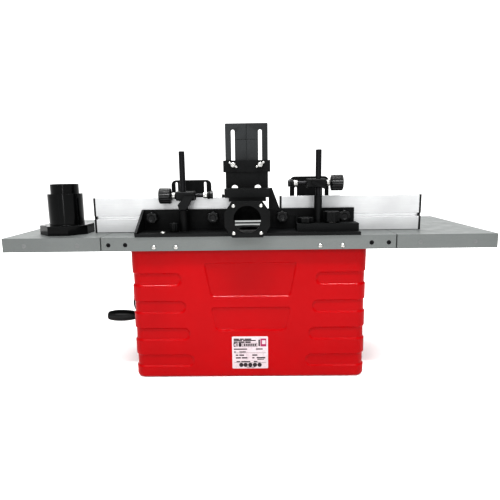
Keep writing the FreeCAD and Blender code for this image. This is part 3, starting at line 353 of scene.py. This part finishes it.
def axis_frame(axis):
    """Two unit vectors square to an axis, and the axis."""
    axis = Vector(axis).normalized()
    side = Z_AXIS if abs(axis.z) < 0.9 else X_AXIS
    u = (side - axis * side.dot(axis)).normalized()
    w = axis.cross(u)
    return u, w, axis


def rounded_profile(points, steps=3):
    """Polyline of (radius, height, corner radius) with its corners rounded."""
    result = []
    for i, (r, h, fillet) in enumerate(points):
        here = Vector((r, h))
        if fillet <= 0 or i in (0, len(points) - 1):
            result.append((r, h))
            continue
        before = Vector(points[i - 1][:2]) - here
        after = Vector(points[i + 1][:2]) - here
        reach = min(fillet, before.length * 0.49, after.length * 0.49)
        start, end = here + before.normalized() * reach, here + after.normalized() * reach
        for k in range(steps + 1):
            t = k / steps
            result.append(tuple(start * (1 - t) ** 2 + here * 2 * t * (1 - t) + end * t ** 2))
    return result


def turned(name, centre, axis, profile, material, body, segments=64, lobes=0, depth=0.0, sharp=1.0):
    """Body of revolution from (radius, height) points.

    Lobes pull the radius in by depth mm where the rim is full, and less towards the middle.
    """
    u, w, a = axis_frame(axis)
    centre = Vector(centre)
    rim = max(r for r, _ in profile)
    vertices, faces = [], []
    for r, h in profile:
        for k in range(segments):
            t = 2 * math.pi * k / segments
            wave = (0.5 - 0.5 * math.cos(lobes * t)) ** sharp if lobes else 0.0
            weight = max(0.0, (r / rim - 0.6) / 0.4)
            radius = r - depth * wave * weight
            vertices.append(centre + (u * math.cos(t) + w * math.sin(t)) * radius + a * h)
    rows = len(profile)
    for i in range(rows - 1):
        for k in range(segments):
            n = (k + 1) % segments
            near, far = i * segments, (i + 1) * segments
            faces.append((near + k, near + n, far + n, far + k))
    for row, (r, h) in ((0, profile[0]), (rows - 1, profile[-1])):
        if r > 1e-6:
            ring = [row * segments + k for k in range(segments)]
            tip = len(vertices)
            vertices.append(centre + a * h)
            faces += [(ring[k], ring[(k + 1) % segments], tip) for k in range(segments)]
    return add_piece(name, vertices, faces, material, body)


def plate(name, outline, origin, u, w, thickness, material, body, edge=0.3):
    """Flat closed outline of (u, w) points, thickened along u x w, with its edges rounded."""
    u, w, origin = Vector(u), Vector(w), Vector(origin)
    normal = u.cross(w).normalized()
    bm = bmesh.new()
    corners = [bm.verts.new((origin + u * p + w * q) * MM) for p, q in outline]
    face = bm.faces.new(corners)
    made = bmesh.ops.extrude_face_region(bm, geom=[face])
    moved = [v for v in made["geom"] if isinstance(v, bmesh.types.BMVert)]
    bmesh.ops.translate(bm, verts=moved, vec=normal * thickness * MM)
    bmesh.ops.recalc_face_normals(bm, faces=bm.faces)
    if edge:
        sharp = [e for e in bm.edges if e.calc_face_angle(0.0) > math.radians(30)]
        bmesh.ops.bevel(bm, geom=sharp, offset=edge * MM, segments=2, profile=0.5, affect="EDGES",
                        clamp_overlap=True)
    mesh = bpy.data.meshes.new(name)
    bm.to_mesh(mesh)
    bm.free()
    return finish_piece(name, mesh, material, body, 50.0)


def rounded_rectangle(x0, x1, y0, y1, radius, steps=4):
    points = []
    for cx, cy, start in ((x1 - radius, y1 - radius, 0), (x0 + radius, y1 - radius, 90),
                          (x0 + radius, y0 + radius, 180), (x1 - radius, y0 + radius, 270)):
        for k in range(steps + 1):
            t = math.radians(start + 90.0 * k / steps)
            points.append((cx + radius * math.cos(t), cy + radius * math.sin(t)))
    return points


def graded(start, end, coarse, fine, zones, fixed=()):
    """Sorted positions from start to end, closely spaced inside the zones. Fixed ones are always kept."""
    marks = {start, end, *(f for f in fixed if start < f < end)}
    for low, high in zones:
        low, high = max(start, low), min(end, high)
        if high > low:
            count = max(1, round((high - low) / fine))
            marks.update(low + (high - low) * k / count for k in range(count + 1))
    marks = sorted(marks)
    result = [marks[0]]
    for mark in marks[1:]:
        gap = mark - result[-1]
        if gap < 0.25 and mark != end and mark not in fixed:
            continue
        count = max(1, math.ceil(gap / coarse))
        base = result[-1]
        result += [base + gap * k / count for k in range(1, count + 1)]
    return result


# ---------------------------------------------------------------- cabinet

CORNER, FOOT = 22.0, 8.0               # corner and foot radius
EMBOSS, SLOPE = 2.5, 3.4               # depth of the pressing, and the width of its slope
BEAD_Z = [39.0 + 60.0 * k for k in range(4)]
BEAD_HALF = 14.5
BEAD_END_X, BEAD_END_STEP = 119.0, 6.8 # where the lowest bead ends, and how much further each one up ends
BEAD_END_Y = 60.0
FOOT_OPENING = (165.0, 90.0, 25.0)     # x and y of the centres of its corners, and their radius
# Two trapezoid panels about x = PANEL_X, each as (half width, z) at its foot and at its top
PANEL_X = -4.0
PANELS = (((84.5, 179.5), (98.5, 255.0)), ((75.5, 105.0), (86.5, 158.5)))
VENT_ROWS = [96.0 + 16.0 * k for k in range(8)]
VENT_HALF_Y, VENT_HEIGHT = 39.0, 6.0
SHEET = 1.6                            # thickness of the cabinet's sheet
# Where the grid is fine: across the ends of the beads and the slanting sides of the panels
FINE_X = [(-166, -116), (-107, -74), (66, 99), (116, 166)]
FINE_Y = [(-77, -57), (57, 77)]
CORNER_STEPS, FOOT_STEPS = 10, 8


def smooth_step(t):
    t = max(0.0, min(1.0, t))
    return t * t * (3 - 2 * t)


def panel_distance(x, z, low, high, corner=9.0):
    """Signed distance to a trapezoid about x = PANEL_X with rounded corners; negative inside."""
    (half0, z0), (half1, z1) = low, high
    lean = math.hypot(half1 - half0, z1 - z0)
    side = ((abs(x - PANEL_X) - half0) * (z1 - z0) - (z - z0) * (half1 - half0)) / lean
    across, along = side + corner, abs(z - (z0 + z1) / 2) - (z1 - z0) / 2 + corner
    outside = math.hypot(max(across, 0.0), max(along, 0.0))
    return outside + min(max(across, along), 0.0) - corner


def emboss_depth(column, z, half_x, half_y):
    """How far the wall is pressed in at a grid column and a height.

    u is the way along the wall from the middle of the nearest corner, below 0 on the walls that face y and
    above 0 on the walls that face x.
    """
    wall, x, y = column["wall"], column["x"], column["y"]
    arc = CORNER * math.pi / 2
    reach_x, reach_y = half_x - CORNER, half_y - CORNER
    depth = 0.0
    for row, centre in enumerate(BEAD_Z):
        end_x = BEAD_END_X + BEAD_END_STEP * row + BEAD_HALF
        end_a = -(arc / 2 + reach_x - end_x)
        end_b = arc / 2 + reach_y - (BEAD_END_Y + BEAD_HALF)
        if wall == "y":
            u = -(arc / 2 + reach_x - abs(x))
        elif wall == "x":
            u = arc / 2 + reach_y - abs(y)
        else:
            u = column["arc"] * arc - arc / 2
        beyond = max(end_a - u, u - end_b, 0.0)
        distance = math.hypot(beyond, z - centre) - BEAD_HALF
        depth = max(depth, smooth_step(-distance / SLOPE))
    if wall == "y" and y > 0:
        for low, high in PANELS:
            depth = max(depth, smooth_step(-panel_distance(x, z, low, high) / SLOPE))
    return depth * EMBOSS


def cabinet_columns(half_x, half_y):
    """Upright grid lines round the wall.

    Each has its wall (x, y, or c for a corner), its place x and y, the normal n, and the point c that the
    radius CORNER reaches out from along n.
    """
    reach_x, reach_y = half_x - CORNER, half_y - CORNER
    xs = graded(-reach_x, reach_x, 9.0, 1.2, FINE_X)
    ys = graded(-reach_y, reach_y, 9.0, 1.8, FINE_Y, (-VENT_HALF_Y, VENT_HALF_Y))
    columns = []

    def straight(values, wall, sign):
        for value in values:
            centre = (value, sign * reach_y) if wall == "y" else (sign * reach_x, value)
            columns.append({"wall": wall, "x": centre[0], "y": value if wall == "x" else sign * half_y,
                            "c": centre, "n": (0, sign) if wall == "y" else (sign, 0)})

    def corner(sx, sy, start, end, flip):
        for k in range(1, CORNER_STEPS):
            t = start + (end - start) * k / CORNER_STEPS
            share = k / CORNER_STEPS if not flip else 1 - k / CORNER_STEPS
            columns.append({"wall": "c", "x": sx * half_x, "y": sy * half_y, "arc": share,
                            "c": (sx * reach_x, sy * reach_y), "n": (math.cos(t), math.sin(t))})

    straight(ys, "x", 1)
    corner(1, 1, 0, math.pi / 2, True)
    straight(xs[::-1], "y", 1)
    corner(-1, 1, math.pi / 2, math.pi, False)
    straight(ys[::-1], "x", -1)
    corner(-1, -1, math.pi, 1.5 * math.pi, True)
    straight(xs, "y", -1)
    corner(1, -1, 1.5 * math.pi, 2 * math.pi, False)
    return columns


def cabinet_wall():
    half_x, half_y, top = box_mm("housing_shell")[1]
    columns = cabinet_columns(half_x, half_y)
    edges = [z + s * BEAD_HALF for z in BEAD_Z for s in (1, -1)] + [z for p in PANELS for _, z in p]
    zones = [(e - 5.5, e + 5.5) for e in edges]
    fixed = tuple(z + d for z in VENT_ROWS for d in (0.0, VENT_HEIGHT))
    levels = graded(FOOT, top, 5.0, 0.9, zones, fixed)
    rings = []

    def add_ring(z, inset):
        """A level of the wall, moved inwards at each column by what inset gives for it."""
        reaches = [(c, CORNER - inset(c)) for c in columns]
        rings.append([(c["c"][0] + c["n"][0] * r, c["c"][1] + c["n"][1] * r, z) for c, r in reaches])

    for z in reversed(levels):
        add_ring(z, lambda c: emboss_depth(c, z, half_x, half_y))
    for k in range(1, FOOT_STEPS + 1):
        t = math.pi / 2 * k / FOOT_STEPS
        add_ring(FOOT * (1 - math.sin(t)), lambda c: FOOT * (1 - math.cos(t)))
    foot_x, foot_y, foot_r = FOOT_OPENING
    grow_x, grow_y = foot_x / (half_x - CORNER), foot_y / (half_y - CORNER)
    rings.append([(c["c"][0] * grow_x + c["n"][0] * foot_r, c["c"][1] * grow_y + c["n"][1] * foot_r, 0.0)
                  for c in columns])
    count = len(columns)
    vertices = [v for ring in rings for v in ring]
    faces = []
    for i in range(len(rings) - 1):
        for k in range(count):
            n = (k + 1) % count
            near, far = i * count, (i + 1) * count
            quad = (near + k, near + n, far + n, far + k)
            middle = sum((Vector(vertices[q]) for q in quad), Vector()) / 4
            beside = middle.x < -half_x + 2 and abs(middle.y) < VENT_HALF_Y
            vent = beside and any(z < middle.z < z + VENT_HEIGHT for z in VENT_ROWS)
            if not vent:
                faces.append(quad)
    wall = add_piece("cabinet_wall", vertices, faces, RED, "table_frame", 60.0)
    skin = wall.modifiers.new("sheet", "SOLIDIFY")
    skin.thickness = SHEET * MM
    skin.offset = -1.0
    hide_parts("housing_shell")


# Shares of the label's size, from its top left corner as it is read. Each row of generic marks gives its top,
# its height, and the start and end of each mark. LINE_GROWTH makes all the rows taller.
LABEL_ROWS = (
    (0.065, 0.026, (0.05, 0.20), (0.22, 0.33), (0.35, 0.54)), (0.110, 0.022, (0.05, 0.28), (0.31, 0.66)),
    (0.155, 0.026, (0.05, 0.16), (0.18, 0.35), (0.37, 0.52)), (0.375, 0.022, (0.05, 0.42), (0.66, 0.85)),
    (0.465, 0.018, (0.05, 0.11), (0.20, 0.38)), (0.560, 0.026, (0.10, 0.17), (0.20, 0.33), (0.56, 0.70)),
    (0.645, 0.026, (0.10, 0.24), (0.27, 0.42), (0.56, 0.62), (0.68, 0.92)), (0.700, 0.016, (0.70, 0.88)),
    (0.765, 0.022, (0.12, 0.22), (0.25, 0.50), (0.60, 0.70)), (0.945, 0.014, (0.40, 0.62)))
LINE_GROWTH = 1.45
LABEL_RULES = (0.505, 0.810)
LABEL_DOTS, DOT_HEIGHT, DOT_RADIUS = (0.25, 0.37, 0.50, 0.63, 0.76), 0.115, 4.6


def rating_label():
    low, high = box_mm("rating_label")
    outline = rounded_rectangle(low.x, high.x, low.z, high.z, 2.5)
    sheet = plate("label_sheet", outline, (0, high.y, 0), X_AXIS, Z_AXIS, high.y - low.y - 0.05, FILM,
                  "table_frame", 0.15)
    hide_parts("rating_label")
    face = high.y + 0.02
    width, height = high.x - low.x, high.z - low.z

    def mark(name, x0, x1, z0, z1, material=INK, radius=0.4, proud=0.06):
        """A printed patch; x runs from the label's left edge as it is read, z from its foot."""
        outline = rounded_rectangle(high.x - x1 * width, high.x - x0 * width, low.z + z0 * height,
                                    low.z + z1 * height, radius)
        plate(name, outline, (0, face + proud, 0), X_AXIS, Z_AXIS, proud, material, "table_frame",
              0.0)

    for row, (top, tall, *spans) in enumerate(LABEL_ROWS):
        for number, (x0, x1) in enumerate(spans):
            mark("label_line_%d_%d" % (row, number), x0, x1, 1 - top - LINE_GROWTH * tall, 1 - top, INK, 0.3)
    for k, top in enumerate(LABEL_RULES):
        mark("label_rule_%d" % k, 0.06, 0.94, 1 - top - 0.007, 1 - top, INK, 0.1)
    for k, (x0, x1) in enumerate(((0.045, 0.105), (0.125, 0.155), (0.185, 0.265))):
        mark("label_sign_%d" % k, x0, x1, 0.685, 0.80, INK, 1.0)
    mark("label_sign_gap", 0.065, 0.10, 0.715, 0.77, FILM, 0.6, 0.12)
    mark("label_frame", 0.29, 0.70, 0.675, 0.80, INK, 0.6)
    mark("label_frame_inside", 0.30, 0.69, 0.685, 0.79, FILM, 0.5, 0.12)
    for k in range(7):
        mark("label_digit_%d" % k, 0.325 + 0.052 * k, 0.362 + 0.052 * k, 0.70, 0.775, INK, 0.3, 0.16)
    mark("label_emblem_bar", 0.735, 0.775, 0.70, 0.90, INK, 0.5)
    mark("label_emblem", 0.79, 0.95, 0.69, 0.93, RED_INK, 1.2)
    mark("label_emblem_inside", 0.83, 0.93, 0.76, 0.88, FILM, 1.0, 0.12)
    for k, share in enumerate(LABEL_DOTS):
        turned("label_dot_%d" % k, (high.x - share * width, face, low.z + DOT_HEIGHT * height), Y_AXIS,
               [(0, 0.06), (DOT_RADIUS, 0.06), (DOT_RADIUS, 0)], INK, "table_frame", 32)


# ---------------------------------------------------------------- knobs and fasteners

def knob(name, centre, axis, radius, height, lobes, depth, body, dish=0.5, sharp=1.0, material=BLACK_SMOOTH):
    """Moulded knob with a lobed rim, a rounded shoulder and a shallow dish in its face."""
    profile = [(radius * 0.55, 0.0, 0), (radius, 0.4, 1.0), (radius, height - 0.2, 2.2),
               (radius * 0.72, height, 1.0), (radius * dish, height, 0.6),
               (radius * dish * 0.9, height - 1.0, 0.6), (0.0, height - 1.2, 0)]
    return turned(name, centre, axis, rounded_profile(profile), material, body,
                  max(72, lobes * 8), lobes, depth, sharp)


def washer(name, centre, axis, inner, outer, thickness, body, material=ZINC):
    profile = [(inner, 0, 0), (outer, 0, 0.3), (outer, thickness, 0.3), (inner, thickness, 0), (inner, 0, 0)]
    u, w, a = axis_frame(axis)
    rounded = rounded_profile(profile)[:-1]
    centre, count, rows = Vector(centre), 48, len(rounded)
    angles = [2 * math.pi * k / count for k in range(count)]
    vertices = [centre + (u * math.cos(t) + w * math.sin(t)) * r + a * h for r, h in rounded for t in angles]
    faces = []
    for i in range(rows):
        near, far = i * count, (i + 1) % rows * count
        for k in range(count):
            n = (k + 1) % count
            faces.append((near + k, near + n, far + n, far + k))
    return add_piece(name, vertices, faces, material, body)


def hex_piece(name, centre, axis, flats, height, body, material=ZINC, edge=0.4):
    u, w, _ = axis_frame(axis)
    radius = flats / math.sqrt(3)
    angles = [math.radians(60 * k) for k in range(6)]
    outline = [(radius * math.cos(t), radius * math.sin(t)) for t in angles]
    return plate(name, outline, centre, u, w, height, material, body, edge)


def shaft(name, start, end, radius, body, material=ZINC, chamfer=0.5):
    start, end = Vector(start), Vector(end)
    length = (end - start).length
    profile = rounded_profile([(0, 0, 0), (radius, 0, chamfer), (radius, length, chamfer), (0, length, 0)])
    return turned(name, start, end - start, profile, material, body, 40)


PLATE_SLOT_Z = 344.0
PLATE_SLOT_HALF, PLATE_SLOT_DEPTH = 3.4, 3.6


def plate_knobs():
    for name in ("right_outer", "right_inner", "left_inner", "left_outer"):
        node = "plate_knob_" + name
        low, high = box_mm(node)
        x, z = (low.x + high.x) / 2, PLATE_SLOT_Z
        grip = knob(node + "_grip", (x, high.y - 14.0, z), Y_AXIS, 13.0, 14.0, 7, 2.0, node, sharp=0.8)
        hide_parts(node)
        shaft(node + "_bolt", (x, low.y + 3.0, z), (x, high.y - 13.0, z), 2.9, node)
        turned(node + "_head", (x, low.y, z), Y_AXIS,
               rounded_profile([(0, 0, 0), (5.2, 0, 0.4), (5.2, 3.2, 0.3), (0, 3.2, 0)]), ZINC, node, 40)


COMB_GRIP = 24.5                       # length of a comb knob's grip


def comb_knobs():
    for side, out in (("right", 1), ("left", -1)):
        node = "comb_knob_" + side
        low, high = box_mm(node)
        y, z = (low.y + high.y) / 2, (low.z + high.z) / 2
        base = (high.x - COMB_GRIP) if out > 0 else (low.x + COMB_GRIP)
        far = low.x if out > 0 else high.x
        axis = X_AXIS * out
        grip = knob(node + "_grip", (base, y, z), axis, 16.5, COMB_GRIP, 18, 1.1, node, dish=0.62, sharp=0.7)
        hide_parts(node)
        shaft(node + "_bolt", (far + out * 5.0, y, z), (base + out * 1.0, y, z), 3.95, node,
              BLACK_STEEL)
        hex_piece(node + "_near_nut", (base - out * 9.0, y, z), axis, 11.0, 6.8, node)
        hex_piece(node + "_far_nut", (far + out * 12.0, y, z), axis, 11.0, 8.5, node)
        hex_piece(node + "_bolt_head", (far, y, z), axis, 13.0, 6.0, node, BLACK_SMOOTH,
                  1.0)


# Node, radius, height, lobes, their depth and sharpness, and how far below the top its bolt ends
CLAMP_KNOBS = (("fence_clamp_knob_left", 18.0, 22.0, 7, 2.7, 0.8, 20.0),
               ("fence_clamp_knob_right", 9.5, 18.0, 10, 0.8, 1.0, 17.0),
               ("fence_lock_knob", 17.5, None, 7, 2.4, 0.8, None))


def clamp_knobs():
    """The fence's two clamp knobs, and its lock knob, which is as tall as its CAD node and shows no bolt."""
    for node, radius, height, lobes, depth, sharp, bolt_end in CLAMP_KNOBS:
        low, high = box_mm(node)
        x, y = (low.x + high.x) / 2, (low.y + high.y) / 2
        base, height = (high.z - height, height) if height else (low.z, high.z - low.z)
        grip = knob(node + "_grip", (x, y, base), Z_AXIS, radius, height, lobes, depth, node, sharp=sharp,
                    material=BLACK)
        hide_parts(node)
        if node == "fence_clamp_knob_left":
            washer(node + "_washer", (x, y, high.z - 23.3), Z_AXIS, 3.3, 10.0, 1.2, node)
        if bolt_end:
            shaft(node + "_bolt", (x, y, low.z), (x, y, high.z - bolt_end), 2.95, node)


WING_HUB_Y, WING_Y, WING_LEAN = 93.9, 99.0, 32.5


def wing_nuts():
    for side, lean in (("right", WING_LEAN), ("left", -WING_LEAN)):
        node = "wing_nut_" + side
        low, high = box_mm(node)
        x, z = (low.x + high.x) / 2, (low.z + high.z) / 2
        hub = turned(node + "_hub", (x, WING_HUB_Y, z), Y_AXIS,
                     rounded_profile([(3.0, 0, 0), (6.2, 0, 0.5), (5.6, 6.0, 1.2), (3.0, 6.0, 0)]), ZINC,
                     node, 48)
        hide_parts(node)
        for sign in (1, -1):
            points = [(sign * 4.0, -1.6), (sign * 8.0, -2.3), (sign * 10.6, -1.8), (sign * 11.4, 0.4),
                      (sign * 10.2, 2.3), (sign * 7.6, 2.3), (sign * 4.0, 1.6)]
            cos, sin = math.cos(math.radians(lean)), math.sin(math.radians(lean))
            outline = [(x + p * cos - q * sin, z + p * sin + q * cos) for p, q in points]
            plate("%s_wing_%d" % (node, sign > 0), outline, (0, WING_Y, 0), X_AXIS, Z_AXIS, 3.0, ZINC, node,
                  0.7)
        shaft(node + "_bolt", (x, low.y + 3.0, z), (x, high.y, z), 2.95, node)
        turned(node + "_head", (x, low.y, z), Y_AXIS,
               rounded_profile([(0, 0, 0), (6.5, 0.6, 0.8), (6.5, 3.2, 0.3), (0, 3.2, 0)]), ZINC, node,
               40)


DIAL_FACE_Y, TICK_CIRCLE, TICK_STEP = -180.15, 23.0, 54


def speed_dial():
    node = "speed_dial"
    low, high = box_mm(node)
    x, z = (low.x + high.x) / 2, (low.z + high.z) / 2
    front = low.y
    grip = knob(node + "_grip", (x, front + 11.0, z), -Y_AXIS, 18.0, 11.0, 20, 0.9, node)
    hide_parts(node)
    shaft(node + "_spindle", (x, front + 9.0, z), (x, high.y, z), 3.25, node, STEEL)
    plate(node + "_pointer", rounded_rectangle(x - 0.7, x + 0.7, z + 4.0, z + 13.5, 0.6), (0, front + 0.1, 0),
          X_AXIS, Z_AXIS, 0.35, WHITE_MARK, node, 0.0)
    for k in range(6):
        angle = math.radians(90 - TICK_STEP * k)
        place = (x + TICK_CIRCLE * math.cos(angle), DIAL_FACE_Y, z + TICK_CIRCLE * math.sin(angle))
        turned("dial_tick_%d" % k, place, Y_AXIS, [(0, 0), (1.1, 0), (1.1, 0.2), (0, 0.2)], WHITE_MARK,
               "table_frame", 20)


def button_marks():
    """A bar on the start button and a ring on the stop button."""
    for node in ("start_button", "stop_button"):
        low, high = box_mm(node)
        x, z = (low.x + high.x) / 2, (low.z + high.z) / 2
        if node == "start_button":
            plate("start_mark", rounded_rectangle(x - 0.9, x + 0.9, z - 5, z + 5, 0.8), (0, low.y + 0.05, 0),
                  X_AXIS, Z_AXIS, 0.3, WHITE_MARK, node, 0.0)
        else:
            washer("stop_mark", (x, low.y - 0.2, z), Y_AXIS, 3.6, 5.2, 0.3, node, WHITE_MARK)


# ---------------------------------------------------------------- fence details

CAP_LENGTH, CAP_PROUD, CAP_OVERHANG = 4.4, 0.2, 0.3


def plate_end_caps():
    """Black caps that wrap the ends of the extruded fence plates."""
    for side in ("right", "left"):
        node = "fence_plate_" + side
        low, high = box_mm(node)
        y0, y1, z0, z1 = low.y - CAP_PROUD, high.y + CAP_PROUD, low.z - CAP_PROUD, high.z + CAP_PROUD
        under, over = PLATE_SLOT_Z - PLATE_SLOT_HALF, PLATE_SLOT_Z + PLATE_SLOT_HALF
        inner = y1 - PLATE_SLOT_DEPTH
        outline = [(y0, z0), (y1, z0), (y1, under), (inner, under), (inner, over), (y1, over), (y1, z1),
                   (y0, z1)]
        for end, x in (("low", low.x - CAP_OVERHANG), ("high", high.x + CAP_OVERHANG - CAP_LENGTH)):
            plate("%s_cap_%s" % (node, end), outline, (x, 0, 0), Y_AXIS, Z_AXIS, CAP_LENGTH, BLACK_SMOOTH,
                  node, 0.4)


MITRE_Y, MITRE_FLOOR = -61.0, 301.5
SHELF_SCREW, STOP_SCREW = (176.0, 164.0, 317.55), (46.8, 150.0, 391.5)


def small_fittings():
    """Lining of the mitre slot, black strips beside it on the table top that are painted shade from the
    fence, a screw in the fence shelf's slot, and a stop screw beside the guard.
    """
    low, high = box_mm("main_table")
    x0, x1, z0, z1 = low.x + 1, high.x - 1, MITRE_FLOOR + 0.1, high.z - 0.1
    # Painted shade: black strips on the table top either side of the mitre slot, where the fence shades the
    # table
    for k, y in enumerate((MITRE_Y - 18.5, MITRE_Y + 9.6)):
        plate("mitre_painted_shade_strip_%d" % k, rounded_rectangle(x0, x1, y, y + 8.9, 0.4), (0, 0, high.z - 0.02),
              X_AXIS, Y_AXIS, 0.2, BLACK, "table_frame", 0.0)
    for k, y in enumerate((MITRE_Y - 9.05, MITRE_Y + 9.55)):
        plate("mitre_track_side_%d" % k, [(x0, z0), (x1, z0), (x1, z1), (x0, z1)], (0, y, 0), X_AXIS, Z_AXIS,
              0.5, BLACK, "table_frame", 0.0)
    turned("shelf_slot_screw", SHELF_SCREW, Z_AXIS,
           rounded_profile([(0, 0, 0), (6.4, 0, 0), (6.0, 1.6, 0.6), (3.6, 3.2, 1.2), (0, 3.4, 0)]), ZINC,
           "fence", 48)
    turned("guard_stop_screw", STOP_SCREW, X_AXIS,
           rounded_profile([(0, 0, 0), (2.4, 0, 0), (2.4, 2.2, 0.2), (3.6, 2.6, 0.5), (3.6, 6.2, 0.7),
                            (0, 6.4, 0)]), BLACK_SMOOTH, "fence", 40)


PLUG_X, PLUG_Z, PLUG_SINK = (350.5, 461.0), 295.0, 0.9


def skirt_plugs():
    """Plugs that close the bolt holes in the extension skirts, with a small socket in each."""
    face = box_mm("main_table")[1].y
    profile = rounded_profile([(0, 0, 0), (4.4, 0, 0), (4.4, 0.85, 0.3), (1.5, 0.85, 0.1), (1.4, 0.3, 0),
                               (0, 0.3, 0)])
    for sx in (1, -1):
        for sy in (1, -1):
            for x in PLUG_X:
                turned("skirt_plug_%d_%d_%d" % (x, sx > 0, sy > 0), (sx * x, sy * (face - PLUG_SINK), PLUG_Z),
                       Y_AXIS * sy, profile, PLUG, "table_frame", 32)


# ---------------------------------------------------------------- studio

FLOOR_RADIUS, FLOOR_Z = 14.0, -0.0005
# Name, place, size, and power in watts
LAMPS = (("strip", (0.16, 2.0, 0.75), (0.05, 1.2), 3.0),
         ("key", (1.0, 2.3, 2.0), (0.9, 0.9), 22.0),
         ("fill", (-1.0, 2.3, 1.9), (0.9, 0.9), 22.0),
         ("top", (0.0, 0.8, 2.3), (1.8, 0.16), 75.0),
         ("front", (0.3, -1.5, 2.8), (1.4, 1.2), 45.0))
LAMP_AIM = Vector((0.0, 0.0, 0.2))


def set_studio():
    """Even white surroundings, a floor and soft lamps."""
    world = bpy.data.worlds.new("studio")
    bpy.context.scene.world = world
    world.use_nodes = True
    background = world.node_tree.nodes["Background"]
    background.inputs["Color"].default_value = (1, 1, 1, 1)
    background.inputs["Strength"].default_value = 1.0
    bm = bmesh.new()
    bmesh.ops.create_circle(bm, cap_ends=True, segments=96, radius=FLOOR_RADIUS)
    mesh = bpy.data.meshes.new("studio_floor")
    bm.to_mesh(mesh)
    bm.free()
    mesh.materials.append(floor_material())
    floor = bpy.data.objects.new("studio_floor", mesh)
    bpy.context.scene.collection.objects.link(floor)
    floor.location.z = FLOOR_Z
    for name, place, size, power in LAMPS:
        data = bpy.data.lights.new(name, "AREA")
        data.shape = "RECTANGLE"
        data.size, data.size_y = size
        data.energy = power
        lamp = bpy.data.objects.new(name, data)
        bpy.context.scene.collection.objects.link(lamp)
        lamp.location = place
        lamp.rotation_euler = (LAMP_AIM - lamp.location).to_track_quat("-Z", "Y").to_euler()


# Yaw, pitch and roll in degrees, place in metres, and sensor and lens in millimetres
CAMERA_ANGLES = (-0.921, 9.905, -0.773)
CAMERA_PLACE = (-0.01865, 1.08303, 0.440)
CAMERA_SENSOR, CAMERA_LENS = 36.0, 32.27


def set_camera():
    """Puts the camera where the photograph was taken from."""
    yaw, pitch, roll = (math.radians(a) for a in CAMERA_ANGLES)
    forward = Vector((-math.sin(yaw) * math.cos(pitch), -math.cos(yaw) * math.cos(pitch), -math.sin(pitch)))
    level = Vector((-math.cos(yaw), math.sin(yaw), 0.0))
    upright = level.cross(forward)
    right = level * math.cos(roll) + upright * math.sin(roll)
    up = upright * math.cos(roll) - level * math.sin(roll)
    data = bpy.data.cameras.new("camera")
    data.sensor_width = CAMERA_SENSOR
    data.lens = CAMERA_LENS
    camera = bpy.data.objects.new("camera", data)
    bpy.context.scene.collection.objects.link(camera)
    rotation = Matrix((right, up, -forward)).transposed().to_4x4()
    camera.matrix_world = Matrix.Translation(Vector(CAMERA_PLACE)) @ rotation
    bpy.context.scene.camera = camera


set_camera()
set_studio()
dress_nodes()
soften_edges()
cabinet_wall()
rating_label()
plate_knobs()
comb_knobs()
clamp_knobs()
wing_nuts()
speed_dial()
button_marks()
plate_end_caps()
small_fittings()
skirt_plugs()

bpy.context.scene.view_settings.view_transform = "Standard"
bpy.context.scene.view_settings.look = "High Contrast"
